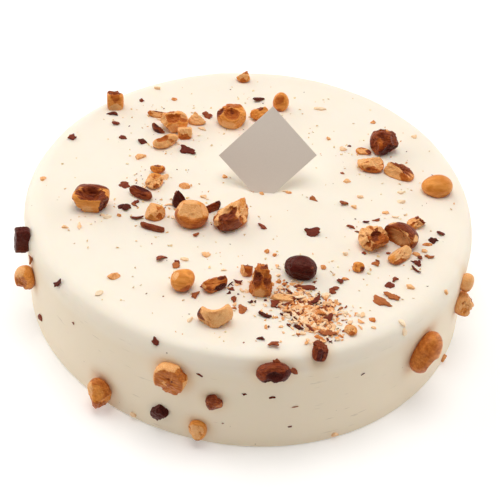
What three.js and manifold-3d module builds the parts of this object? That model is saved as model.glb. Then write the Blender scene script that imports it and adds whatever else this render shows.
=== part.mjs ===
// Entremet cake: a round mousse cake under a smooth cream glaze. Broken roasted hazelnuts, chips
// of dark chocolate, flakes of nut skin and crumbs lie on its top and cling to its side, and a
// small bare card stands with one corner pushed into the top.
//
// Millimetres, +Z up. The origin is the middle of the flat base, X runs to the right and Y runs
// away from the front. The cake is whole, so it is one solid with the small toppings part of it.

import * as THREE from "three";
import { mergeVertices } from "three/addons/utils/BufferGeometryUtils.js";
import Module from "manifold-3d";

const wasm = await Module();
wasm.setup();

// ---------------------------------------------------------------- driving dimensions

const CAKE_RADIUS = 100; // at the top of the side wall
const CAKE_HEIGHT = 52;
const FOOT_SPREAD = 1; // how much further out the wall stands at its foot
const RIM_ROUND = 8; // radius of the rounded top edge
const FOOT_ROUND = 1.2; // small round where the wall meets the base
const TWO_LOBES = 0.005; // share of the radius by which the plan is oval
const THREE_LOBES = 0.008; // share of the radius by which it has three soft corners
const CAKE_SECTORS = 96;
const RIM_STEPS = 5;

const CARD_LONG = 32.3;
const CARD_SHORT = 29.1;
const CARD_THICK = 0.6;
const CARD_AT = [6.4, 0.4]; // where the card's lower corner enters the top
const CARD_SUNK = 4.9; // how far that corner reaches in, along the card
const CARD_LEAN = 31; // degrees back from upright
const CARD_YAW = 2.1; // degrees that the card faces away from the front

const GAP = 0.3; // left between the cake and what touches it

// ---------------------------------------------------------------- colours of the real things

const CREAM = { color: 0xfdf3e2, roughness: 0.5 };
const PAPER = { color: 0xcfc4b8, roughness: 0.7 };
const ROASTED = { color: 0xd08a48, roughness: 0.5 };
const PALE = { color: 0xe9c290, roughness: 0.6 };
const SKIN = { color: 0x7c3a22, roughness: 0.45 };
const CHOCOLATE = { color: 0x3b1d19, roughness: 0.4 };

// ---------------------------------------------------------------- small helpers

// A repeatable stream of numbers from 0 to 1.
function draws(seed) {
  let state = seed * 2654435761;
  return () => {
    state = (state + 0x6d2b79f5) | 0;
    let mixed = Math.imul(state ^ (state >>> 15), 1 | state);
    mixed = (mixed + Math.imul(mixed ^ (mixed >>> 7), 61 | mixed)) ^ mixed;
    return ((mixed ^ (mixed >>> 14)) >>> 0) / 4294967296;
  };
}

// The unit direction at a turn about the upright axis, from +X towards +Y, and a lift above level.
function aim(turn, lift) {
  const around = THREE.MathUtils.degToRad(turn);
  const up = THREE.MathUtils.degToRad(lift);
  return new THREE.Vector3(
    Math.cos(around) * Math.cos(up),
    Math.sin(around) * Math.cos(up),
    Math.sin(up),
  );
}

// Leaves only the corners' positions and joins the ones that are shared.
function welded(geometry) {
  geometry.deleteAttribute("normal");
  geometry.deleteAttribute("uv");
  return mergeVertices(geometry, 1e-4);
}

function solid(geometry) {
  const corners = new Float32Array(geometry.attributes.position.array);
  const triangles = new Uint32Array(geometry.index.array);
  return new wasm.Manifold(
    new wasm.Mesh({ numProp: 3, vertProperties: corners, triVerts: triangles }),
  );
}

function geometryOf(body) {
  const mesh = body.getMesh();
  const geometry = new THREE.BufferGeometry();
  const corners = new THREE.BufferAttribute(new Float32Array(mesh.vertProperties), 3);
  geometry.setAttribute("position", corners);
  geometry.setIndex(new THREE.BufferAttribute(new Uint32Array(mesh.triVerts), 1));
  return largestBody(geometry);
}

// The triangles that hang together with the first of each group, as one list per group.
function bodiesOf(index) {
  const trianglesAt = new Map();
  for (let place = 0; place < index.count; place += 1) {
    const corner = index.getX(place);
    if (!trianglesAt.has(corner)) {
      trianglesAt.set(corner, []);
    }
    trianglesAt.get(corner).push(Math.floor(place / 3));
  }
  const seen = new Set();
  const bodies = [];
  for (let start = 0; start < index.count / 3; start += 1) {
    if (seen.has(start)) {
      continue;
    }
    seen.add(start);
    const body = [start];
    for (let next = 0; next < body.length; next += 1) {
      for (const side of [0, 1, 2]) {
        for (const neighbour of trianglesAt.get(index.getX(3 * body[next] + side))) {
          if (!seen.has(neighbour)) {
            seen.add(neighbour);
            body.push(neighbour);
          }
        }
      }
    }
    bodies.push(body);
  }
  return bodies;
}

// Keeps the largest body alone: loose scraps go, and hollows shut in by crumbs are filled.
function largestBody(geometry) {
  const body = bodiesOf(geometry.index).reduce((a, b) => (b.length > a.length ? b : a));
  const kept = body.flatMap((triangle) =>
    [0, 1, 2].map((side) => geometry.index.getX(3 * triangle + side)),
  );
  geometry.setIndex(kept);
  return geometry;
}

// A solid's copy, moved by a matrix.
function moved(geometry, matrix) {
  return solid(geometry.clone().applyMatrix4(matrix));
}

// ---------------------------------------------------------------- the cake's surface

// The cake is a little out of round: this is the share of the full radius at a bearing.
function outOfRound(bearing) {
  return 1 - TWO_LOBES * Math.sin(2 * bearing) - THREE_LOBES * Math.cos(3 * bearing);
}

const FLAT_RADIUS = CAKE_RADIUS - RIM_ROUND;
const WALL_TOP = CAKE_HEIGHT - RIM_ROUND;

// The cake's half outline from the middle of the base to the middle of the top, grown outwards.
function cakeOutline(grow) {
  const outline = [new THREE.Vector2(0, -grow)];
  const foot = CAKE_RADIUS + FOOT_SPREAD + grow;
  outline.push(new THREE.Vector2(foot - FOOT_ROUND, -grow));
  outline.push(new THREE.Vector2(foot, FOOT_ROUND - grow));
  for (let step = 0; step <= RIM_STEPS; step += 1) {
    const around = (Math.PI / 2) * (step / RIM_STEPS);
    const reach = RIM_ROUND + grow;
    const across = FLAT_RADIUS + reach * Math.cos(around);
    outline.push(new THREE.Vector2(across, WALL_TOP + reach * Math.sin(around)));
  }
  outline.push(new THREE.Vector2(0, CAKE_HEIGHT + grow));
  return outline;
}

function cakeForm(grow) {
  const geometry = new THREE.LatheGeometry(cakeOutline(grow), CAKE_SECTORS);
  geometry.rotateX(Math.PI / 2);
  const corners = geometry.attributes.position;
  for (let index = 0; index < corners.count; index += 1) {
    const x = corners.getX(index);
    const y = corners.getY(index);
    const share = outOfRound(Math.atan2(y, x));
    corners.setXY(index, x * share, y * share);
  }
  return welded(geometry);
}

// Where a topping sits: a point of the glaze, the way out of it, and the way to the right.
function onTop(x, y) {
  const bearing = Math.atan2(y, x);
  const radius = Math.hypot(x, y) / outOfRound(bearing);
  const past = THREE.MathUtils.clamp((radius - FLAT_RADIUS) / RIM_ROUND, 0, 1);
  const tilt = Math.asin(past);
  const height = WALL_TOP + RIM_ROUND * Math.cos(tilt);
  const out = new THREE.Vector3(
    Math.cos(bearing) * Math.sin(tilt),
    Math.sin(bearing) * Math.sin(tilt),
    Math.cos(tilt),
  );
  return { point: new THREE.Vector3(x, y, height), out, right: new THREE.Vector3(1, 0, 0) };
}

function onSide(bearingDegrees, height) {
  const bearing = THREE.MathUtils.degToRad(bearingDegrees);
  const past = THREE.MathUtils.clamp((height - WALL_TOP) / RIM_ROUND, 0, 1);
  const tilt = Math.acos(past);
  const spread = FOOT_SPREAD * Math.max(0, 1 - height / WALL_TOP);
  const radius = (FLAT_RADIUS + RIM_ROUND * Math.sin(tilt) + spread) * outOfRound(bearing);
  const point = new THREE.Vector3(radius * Math.cos(bearing), radius * Math.sin(bearing), height);
  const out = new THREE.Vector3(
    Math.cos(bearing) * Math.sin(tilt),
    Math.sin(bearing) * Math.sin(tilt),
    past,
  );
  return { point, out, right: new THREE.Vector3(-Math.sin(bearing), Math.cos(bearing), 0) };
}

// The matrix that stands a piece on the glaze: its X to the right, its Z out of the surface.
function standing(seat, rise, turn) {
  const away = new THREE.Vector3().crossVectors(seat.out, seat.right).normalize();
  const right = new THREE.Vector3().crossVectors(away, seat.out);
  const matrix = new THREE.Matrix4().makeBasis(right, away, seat.out);
  matrix.setPosition(seat.point.clone().addScaledVector(seat.out, rise));
  return matrix.multiply(new THREE.Matrix4().makeRotationZ(THREE.MathUtils.degToRad(turn)));
}

// ---------------------------------------------------------------- nuts and broken pieces

// Soft unevenness of a surface, from -1 to 1: a few long waves in seeded directions.
function waves(seed) {
  const draw = draws(seed);
  const parts = [];
  for (let count = 0; count < 4; count += 1) {
    const along = aim(360 * draw(), 180 * draw() - 90).multiplyScalar(2.2 + 2.2 * draw());
    parts.push({ along, start: 2 * Math.PI * draw() });
  }
  return (way) => {
    let sum = 0;
    for (const part of parts) {
      sum += Math.cos(part.along.dot(way) + part.start);
    }
    return sum / parts.length;
  };
}

// How far a ray runs from a point inside the unit ball to the ball's surface.
function reachOfBall(core, way) {
  const along = core.dot(way);
  return -along + Math.sqrt(along * along + 1 - core.lengthSq());
}

// How far it runs to a scooped hollow, a ball that takes a bite out of the piece.
function reachOfHollow(core, way, centre, radius) {
  const offset = centre.clone().sub(core);
  const along = offset.dot(way);
  const rest = along * along - offset.lengthSq() + radius * radius;
  if (along <= 0 || rest <= 0) {
    return Infinity;
  }
  return along - Math.sqrt(rest);
}

// The extra flats of a chipped piece, as breaks in seeded directions.
function seededFlats(count, seed) {
  const draw = draws(seed + 300);
  return Array.from({ length: count }, () => [
    360 * draw(),
    130 * draw() - 40,
    0.68 + 0.24 * draw(),
  ]);
}

// A point inside a piece that sees its whole surface: it moves away from each deep hollow.
function coreOf(hollows) {
  const core = new THREE.Vector3();
  for (const [turn, lift, out, radius] of hollows) {
    const shift = THREE.MathUtils.clamp(0.6 - (out - radius), 0, 0.45);
    core.addScaledVector(aim(turn, lift), -shift);
  }
  return core;
}

// How much further out a boxy piece reaches than a ball does: 2 is round, 4 is nearly a block.
function boxReach(way, boxy) {
  const sum = Math.abs(way.x) ** boxy + Math.abs(way.y) ** boxy + Math.abs(way.z) ** boxy;
  return sum ** (-1 / boxy);
}

// A kernel or a piece of one. Its surface is found along rays from a point inside it: each ray
// ends at the first of the rounded outside, a flat break and a scooped hollow that it meets.
// breaks: [turn, lift, keep], keep being the break's distance from the middle in half sizes.
// hollows: [turn, lift, out, radius], both lengths in half sizes. point: where a tip stands out.
// facets: how many small flats are chipped off it.
function pieceGeometry(row) {
  const { size, boxy = 2, hollows = [], facets = 0, point, lump = 0.07, seed } = row;
  const breaks = [...(row.breaks ?? []), ...seededFlats(facets, seed)];
  const detail = Math.max(...size) > 8 ? 2 : 1;
  const geometry = welded(new THREE.IcosahedronGeometry(1, detail));
  const uneven = waves(seed);
  const core = coreOf(hollows);
  const tip = point ? aim(...point) : undefined;
  const way = new THREE.Vector3();
  const corners = geometry.attributes.position;
  for (let index = 0; index < corners.count; index += 1) {
    way.fromBufferAttribute(corners, index).normalize();
    let reach = reachOfBall(core, way) * (1 + lump * uneven(way)) * boxReach(way, boxy);
    if (tip) {
      reach *= 1 + 0.16 * Math.max(0, way.dot(tip)) ** 5;
    }
    for (const [turn, lift, keep] of breaks) {
      const facing = aim(turn, lift);
      const along = facing.dot(way);
      if (along > 0) {
        reach = Math.min(reach, (keep - facing.dot(core)) / along);
      }
    }
    for (const [turn, lift, out, radius] of hollows) {
      const centre = aim(turn, lift).multiplyScalar(out);
      reach = Math.min(reach, reachOfHollow(core, way, centre, radius));
    }
    const place = way.multiplyScalar(Math.max(0.1, reach)).add(core);
    corners.setXYZ(index, (place.x * size[0]) / 2, (place.y * size[1]) / 2, (place.z * size[2]) / 2);
  }
  return geometry;
}

// Pieces as large as a berry. Sizes are [across, away, up] on the top and [across, up, out] on
// the side, rise is how far the middle stands off the glaze, and turn is about the way out.
const TOP_PIECES = [
  // left of the card and along the back rim
  { name: "nut_cup_left", at: [-68.5, -17.6], rise: 4.2, turn: -3, size: [14.6, 10.4, 11.4],
    boxy: 4.6, breaks: [[330, -12, 0.9], [205, -25, 0.95], [270, 82, 0.86]],
    hollows: [[268, 68, 0.98, 0.66]], look: SKIN, seed: 1 },
  { name: "nut_block_back_left", at: [-69.8, 57], rise: 3.8, turn: 8, size: [8, 6.5, 10.4],
    boxy: 4, breaks: [[95, 80, 0.8], [30, 20, 0.95]], hollows: [[270, 78, 1.2, 0.5]],
    look: ROASTED, seed: 2 },
  { name: "nut_back_rim", at: [-9.8, 87.5], rise: 2.6, turn: 0, size: [7.6, 6, 7.2],
    breaks: [[150, 45, 0.4], [270, 20, 0.75], [10, 20, 0.75]], facets: 2, point: [50, 60],
    look: ROASTED, seed: 3 },
  { name: "nut_long_back", at: [-48.5, 51.8], rise: 1.5, turn: -8, size: [10.4, 4.2, 4.4],
    breaks: [[90, 60, 0.5], [270, 40, 0.6]], facets: 3, look: PALE, seed: 4 },
  { name: "nut_cup_cluster", at: [-40, 43.8], rise: 3.6, turn: 10, size: [13, 10.6, 10.4],
    boxy: 2.4, breaks: [[100, 60, 0.8], [200, 25, 0.85]],
    hollows: [[256, 60, 0.98, 0.58], [330, 40, 1.2, 0.5]], facets: 2, look: ROASTED, seed: 5 },
  { name: "nut_wedge_cluster", at: [-29.4, 49.5], rise: 2, turn: 0, size: [10, 7, 7.4],
    breaks: [[30, 30, 0.45], [160, 20, 0.6], [280, 45, 0.5]], facets: 3, point: [90, 60],
    look: PALE, seed: 6 },
  { name: "nut_block_cluster", at: [-34, 37.6], rise: 2.4, turn: 12, size: [6.8, 6, 6.8],
    boxy: 3.4, breaks: [[90, 70, 0.7]], facets: 2, look: PALE, seed: 7 },
  { name: "skin_flake_cluster", at: [-46.6, 40], rise: 1.6, turn: -25, size: [7, 3, 5.6],
    breaks: [[40, 50, 0.3]], hollows: [[250, 70, 1, 0.6]], facets: 3, point: [165, 50],
    look: SKIN, seed: 8 },
  { name: "nut_slice", at: [-42.4, 29.4], rise: 2.4, turn: 30, size: [11.8, 6.2, 7.4],
    breaks: [[100, 40, 0.62], [290, 20, 0.84]], hollows: [[222, 64, 1.06, 0.58]], facets: 1,
    point: [4, 20], look: PALE, seed: 9 },
  { name: "nut_stack_top", at: [-43.2, 9.2], rise: 2.2, turn: 0, size: [6.6, 4, 4.8],
    breaks: [[90, 75, 0.5], [270, 20, 0.6]], facets: 3, look: SKIN, seed: 10 },
  { name: "nut_stack_low", at: [-43.7, 0.6], rise: 1.9, turn: -8, size: [9, 9.6, 5.8],
    breaks: [[268, 62, 0.4], [180, 20, 0.7], [0, 20, 0.75]], facets: 4, look: PALE, seed: 11 },
  { name: "skin_shell_left", at: [-48.6, -8], rise: 1.8, turn: -24, size: [10.8, 5.4, 5],
    boxy: 2.2, breaks: [[260, 30, 0.7]], hollows: [[80, 62, 0.95, 0.72]], point: [355, 0],
    look: SKIN, seed: 12 },
  { name: "nut_smooth_left", at: [-41, -21], rise: 2.2, turn: -12, size: [10, 7.6, 7], boxy: 2.5,
    breaks: [[195, 22, 0.5], [330, 20, 0.66], [270, 80, 0.74]], facets: 2, look: ROASTED,
    seed: 13 },
  { name: "skin_flake_left", at: [-40.5, -29], rise: 1, turn: -16, size: [11, 3.6, 3.4],
    boxy: 2.6, breaks: [[90, 50, 0.5]], facets: 3, look: SKIN, seed: 14 },
  // the middle group
  { name: "chocolate_upright", at: [-31, -13.2], rise: 3.6, turn: -18, size: [6.4, 4.6, 10.4],
    breaks: [[270, 10, 0.7], [60, 40, 0.6]], facets: 5, point: [150, 70], look: CHOCOLATE,
    seed: 15 },
  { name: "nut_cut_face", at: [-24.4, -23], rise: 4.4, turn: 0, size: [14.6, 12, 12.8], boxy: 2.1,
    breaks: [[272, 50, 0.68], [180, 30, 0.88], [0, 30, 0.88], [95, 72, 0.9]],
    hollows: [[274, 33, 0.97, 0.33]], lump: 0.03, look: PALE, seed: 16 },
  { name: "chocolate_curl", at: [-16.6, -14.5], rise: 2.2, turn: 30, size: [8, 4, 6],
    breaks: [[120, 55, 0.4], [270, 10, 0.6]], hollows: [[150, 70, 1, 0.5]], facets: 3,
    point: [10, 40], look: CHOCOLATE, seed: 17 },
  { name: "nut_glossy_chunk", at: [-7.6, -22], rise: 5.6, turn: 38, size: [19, 12.6, 14.2],
    boxy: 2.2,
    breaks: [[142, 38, 0.52], [322, 22, 0.6], [95, 40, 0.6], [180, 66, 0.62], [182, -2, 0.82]],
    hollows: [[222, 56, 1.02, 0.6], [196, 20, 1.3, 0.52]], point: [12, 40], look: SKIN,
    seed: 18 },
  // behind the card
  { name: "nut_cup_back", at: [-13, 50.5], rise: 4.4, turn: -8, size: [14.2, 12, 12.4], boxy: 2.2,
    breaks: [[330, -10, 0.86], [160, 30, 0.9]],
    hollows: [[282, 50, 1, 0.58], [204, 34, 1.12, 0.42]], facets: 2, point: [98, 52],
    look: ROASTED, seed: 19 },
  { name: "nut_behind_card", at: [0.6, 57], rise: 2.8, turn: 35, size: [10.4, 7, 7.8],
    breaks: [[90, 60, 0.6], [0, 30, 0.75], [200, 20, 0.85]], facets: 3, look: ROASTED, seed: 20 },
  { name: "nut_half_back", at: [10, 65.5], rise: 3.8, turn: 0, size: [7.8, 7, 10.8],
    breaks: [[265, 5, 0.85]], lump: 0.04, look: ROASTED, seed: 21 },
  // right of the card
  { name: "nut_dark_right", at: [59.4, 38], rise: 5.6, turn: 0, size: [13.2, 12.6, 13.4],
    boxy: 2.2,
    breaks: [[215, 5, 0.86], [300, -10, 0.84], [335, 30, 0.86], [255, 40, 0.88], [110, 74, 0.84]],
    hollows: [[100, 74, 1.3, 0.5]], facets: 5, look: SKIN, seed: 22 },
  { name: "nut_chip_right", at: [50.2, 34.6], rise: 1, turn: -12, size: [7.4, 4.2, 3.4],
    breaks: [[280, 65, 0.5]], facets: 3, look: PALE, seed: 23 },
  { name: "nut_chunk_right", at: [53.4, 23.6], rise: 2.7, turn: -10, size: [12.6, 9.4, 8],
    boxy: 2.3, breaks: [[330, 46, 0.5], [190, 62, 0.6], [280, 6, 0.8], [120, 40, 0.6]],
    hollows: [[236, 60, 1.12, 0.42]], facets: 2, look: PALE, seed: 24 },
  { name: "nut_wedge_right", at: [66.4, 20.6], rise: 2.8, turn: -22, size: [14.6, 8.4, 10],
    boxy: 2.6, breaks: [[266, 30, 0.62], [14, 56, 0.26], [130, 35, 0.6], [180, 12, 0.82]],
    look: SKIN, seed: 25 },
  { name: "nut_smooth_right", at: [83.4, 9.9], rise: 3.2, turn: 0, size: [13, 10.8, 10.6],
    breaks: [[290, -12, 0.9]], lump: 0.03, point: [185, 0], look: ROASTED, seed: 26 },
  { name: "nut_small_right", at: [72.8, -14.6], rise: 2, turn: 6, size: [9, 5.4, 6], boxy: 2.6,
    breaks: [[170, 50, 0.5], [270, 40, 0.65], [20, 30, 0.7]], facets: 5, look: SKIN, seed: 27 },
  { name: "nut_hollow_right", at: [53.6, -29], rise: 4.2, turn: 0, size: [12.8, 12, 12],
    boxy: 2.2, breaks: [[85, 60, 0.8], [200, 60, 0.78], [225, 20, 0.86]],
    hollows: [[286, 50, 0.94, 0.5], [262, 80, 1.14, 0.42], [330, 8, 1.2, 0.4]], facets: 3,
    look: ROASTED, seed: 28 },
  { name: "nut_shell_right", at: [65.4, -26.4], rise: 4, turn: -28, size: [15, 12, 10.6],
    boxy: 2.2, breaks: [[262, 14, 0.5]], hollows: [[254, 2, 0.72, 0.88]], look: SKIN, seed: 29 },
  { name: "nut_wedge_light", at: [64.6, -36.6], rise: 2.4, turn: 42, size: [11.4, 6.6, 6.4],
    boxy: 2.6, breaks: [[120, 50, 0.5], [265, 45, 0.5]], facets: 2, look: PALE, seed: 30 },
  // along the front
  { name: "nut_whole_front", at: [-24, -63.2], rise: 3.9, turn: 0, size: [9.6, 9, 9.4],
    breaks: [[200, 50, 0.9]], lump: 0.06, point: [40, 30], look: ROASTED, seed: 31 },
  { name: "nut_skin_front", at: [-10.8, -62.6], rise: 2.7, turn: 22, size: [10.6, 6.8, 7],
    boxy: 2.1, breaks: [[100, 50, 0.7], [262, 62, 0.66], [290, -6, 0.66]], facets: 2,
    point: [14, 52], look: ROASTED, seed: 32 },
  { name: "nut_red_front", at: [1.2, -52.6], rise: 2.2, turn: 0, size: [5.4, 4.2, 6.2], boxy: 3,
    breaks: [[200, 10, 0.66], [80, 60, 0.7]], look: SKIN, seed: 33 },
  { name: "nut_tall_front", at: [7.8, -60.6], rise: 5.2, turn: 4, size: [10.6, 11, 15.6], boxy: 3,
    breaks: [[12, 15, 0.7], [170, 17, 0.68], [268, 42, 0.74], [80, 76, 0.8], [330, 10, 0.88]],
    hollows: [[246, 46, 1.24, 0.56]], facets: 2, look: SKIN, seed: 34 },
  { name: "nut_dark_front", at: [23.4, -50.6], rise: 3.8, turn: -6, size: [13.6, 10, 9.8],
    boxy: 2.1, breaks: [[350, 10, 0.92], [214, 0, 0.88], [276, -16, 0.84]], facets: 3, lump: 0.06,
    look: CHOCOLATE, seed: 35 },
  { name: "nut_flake_front", at: [17, -65.6], rise: 0.8, turn: -4, size: [8.8, 4, 2.8], boxy: 3,
    breaks: [[90, 80, 0.5]], facets: 2, look: PALE, seed: 36 },
  { name: "nut_crescent_front", at: [-9.4, -80.8], rise: 3.2, turn: 6, size: [13.4, 8.6, 12.4],
    boxy: 2.1, breaks: [[218, -14, 0.74], [322, -30, 0.84], [262, 16, 0.84]],
    hollows: [[91, 29, 1.45, 0.9], [95, 58, 1.27, 0.9], [137, 85, 1.45, 0.9]], point: [4, 50],
    look: PALE, seed: 37 },
  { name: "nut_small_front", at: [47.2, -45], rise: 1.5, turn: 0, size: [5.4, 4.6, 4.4],
    breaks: [[290, 50, 0.7]], facets: 4, look: ROASTED, seed: 38 },
  { name: "nut_chip_front", at: [44, -81], rise: 1.2, turn: -20, size: [5.4, 4.6, 4.4],
    breaks: [[270, 60, 0.6]], facets: 4, look: PALE, seed: 39 },
];

const SIDE_PIECES = [
  { name: "chocolate_side_left", at: [-160, 45], rise: 2.4, turn: -8, size: [6.2, 12.4, 7],
    boxy: 4.5, breaks: [[0, 90, 0.8], [40, 0, 1]], look: CHOCOLATE, seed: 51 },
  { name: "nut_side_left", at: [-156, 29.5], rise: 3.6, turn: -16, size: [9.4, 14, 9], boxy: 2.2,
    breaks: [[20, 40, 0.75], [300, 20, 0.82]], hollows: [[330, 40, 1.2, 0.5]], lump: 0.05,
    point: [260, 0], look: ROASTED, seed: 52 },
  { name: "nut_side_low_left", at: [-123.2, 8.6], rise: 3.4, turn: 8, size: [11, 15, 9.8],
    boxy: 2.1, breaks: [[218, 12, 0.56], [324, 8, 0.62], [55, 45, 0.8], [150, 60, 0.74]],
    point: [275, 0], look: ROASTED, seed: 53 },
  { name: "nut_side_front", at: [-104, 36], rise: 2, turn: 0, size: [13.6, 14.8, 9.4], boxy: 2.4,
    breaks: [[90, 78, 0.56], [275, 74, 0.6], [235, 5, 0.86], [330, 5, 0.9], [40, 5, 0.88]],
    hollows: [[96, 62, 1.12, 0.56], [275, 82, 1.14, 0.5]], look: ROASTED, seed: 54 },
  { name: "chocolate_side_low", at: [-107.2, 12], rise: 0.9, turn: -20, size: [7.2, 8.8, 5],
    boxy: 2.6, breaks: [[0, 80, 0.7], [150, 10, 0.75]], facets: 6, look: CHOCOLATE, seed: 55 },
  { name: "chocolate_side_front", at: [-94.1, 27], rise: 1.3, turn: 12, size: [6.8, 7.4, 6],
    boxy: 2.4, breaks: [[300, 55, 0.6], [110, 50, 0.6]], facets: 4, look: SKIN, seed: 56 },
  { name: "nut_side_foot", at: [-97.7, 8.8], rise: 1.5, turn: 0, size: [7.6, 9, 7.4], boxy: 2.5,
    breaks: [[70, 60, 0.7], [180, 40, 0.75]], facets: 3, look: ROASTED, seed: 57 },
  { name: "chocolate_half_front", at: [-81.4, 46.2], rise: 0.9, turn: 0, size: [12.6, 8.2, 8.4],
    boxy: 2.3, breaks: [[75, 60, 0.92]], hollows: [[94, 84, 1, 0.52], [240, 62, 1.16, 0.42]],
    facets: 1, look: CHOCOLATE, seed: 58 },
  { name: "chocolate_rim_front", at: [-70.6, 51], rise: 1.4, turn: -12, size: [6.2, 8.8, 5.8],
    boxy: 2.6, breaks: [[200, 40, 0.7], [40, 50, 0.66], [310, 40, 0.74]],
    hollows: [[200, 50, 1.3, 0.5]], facets: 5, look: CHOCOLATE, seed: 59 },
  { name: "nut_side_right", at: [-41.8, 31], rise: 2.8, turn: -30, size: [13.6, 19.6, 10.4],
    boxy: 2.1, breaks: [[190, 20, 0.9]],
    hollows: [[325, 28, 1.59, 0.8], [315, 49, 1.47, 0.8], [291, 68, 1.59, 0.8]], lump: 0.06,
    look: ROASTED, seed: 60 },
  { name: "nut_edge_upper", at: [-21.5, 42], rise: 1.8, turn: 0, size: [6.2, 8.8, 6.2], boxy: 2.3,
    lump: 0.05, look: PALE, seed: 61 },
  { name: "nut_edge_lower", at: [-22.2, 31], rise: 2.8, turn: 15, size: [10, 11, 9], boxy: 2.6,
    breaks: [[40, 40, 0.7], [150, 45, 0.7], [280, 30, 0.8]], facets: 4, look: ROASTED, seed: 62 },
  // round the back
  { name: "nut_side_back", at: [64, 30], rise: 2.4, turn: 24, size: [11.6, 14, 9.4], boxy: 2.2,
    breaks: [[80, 70, 0.62], [200, 10, 0.84]], hollows: [[280, 70, 1.14, 0.5]], facets: 1,
    look: ROASTED, seed: 63 },
  { name: "nut_side_back_low", at: [121, 11], rise: 2.6, turn: -30, size: [10, 12.6, 8.4],
    boxy: 2.1, breaks: [[40, 60, 0.64], [250, 20, 0.8]], lump: 0.05, look: ROASTED, seed: 64 },
  { name: "chocolate_side_back", at: [97, 36], rise: 1, turn: 30, size: [7.4, 8, 5.4], boxy: 2.5,
    breaks: [[0, 70, 0.7], [150, 30, 0.76]], facets: 5, look: CHOCOLATE, seed: 65 },
  { name: "nut_rim_back", at: [134, 33], rise: 1.8, turn: -10, size: [7.6, 8, 6.8], boxy: 2.4,
    breaks: [[60, 60, 0.7], [200, 30, 0.76]], facets: 2, look: ROASTED, seed: 66 },
  { name: "chocolate_back_low", at: [24, 17], rise: 0.9, turn: -40, size: [6.6, 7.8, 5],
    boxy: 2.6, breaks: [[90, 60, 0.66], [210, 30, 0.74]], facets: 5, look: SKIN, seed: 67 },
];

// ---------------------------------------------------------------- chips, flakes and crumbs

// A crumb, chip or flake: a small angular lump, longer one way, lying partly in the glaze.
function crumbGeometry(size, seed) {
  const draw = draws(seed);
  const geometry = welded(new THREE.OctahedronGeometry(1, 0));
  const corners = geometry.attributes.position;
  for (let index = 0; index < corners.count; index += 1) {
    const x = corners.getX(index) + 0.5 * (draw() - 0.5);
    const y = corners.getY(index) + 0.5 * (draw() - 0.5);
    const z = corners.getZ(index) + 0.3 * (draw() - 0.5);
    corners.setXYZ(index, (x * size[0]) / 2, (y * size[1]) / 2, (z * size[2]) / 2);
  }
  return geometry;
}

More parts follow.
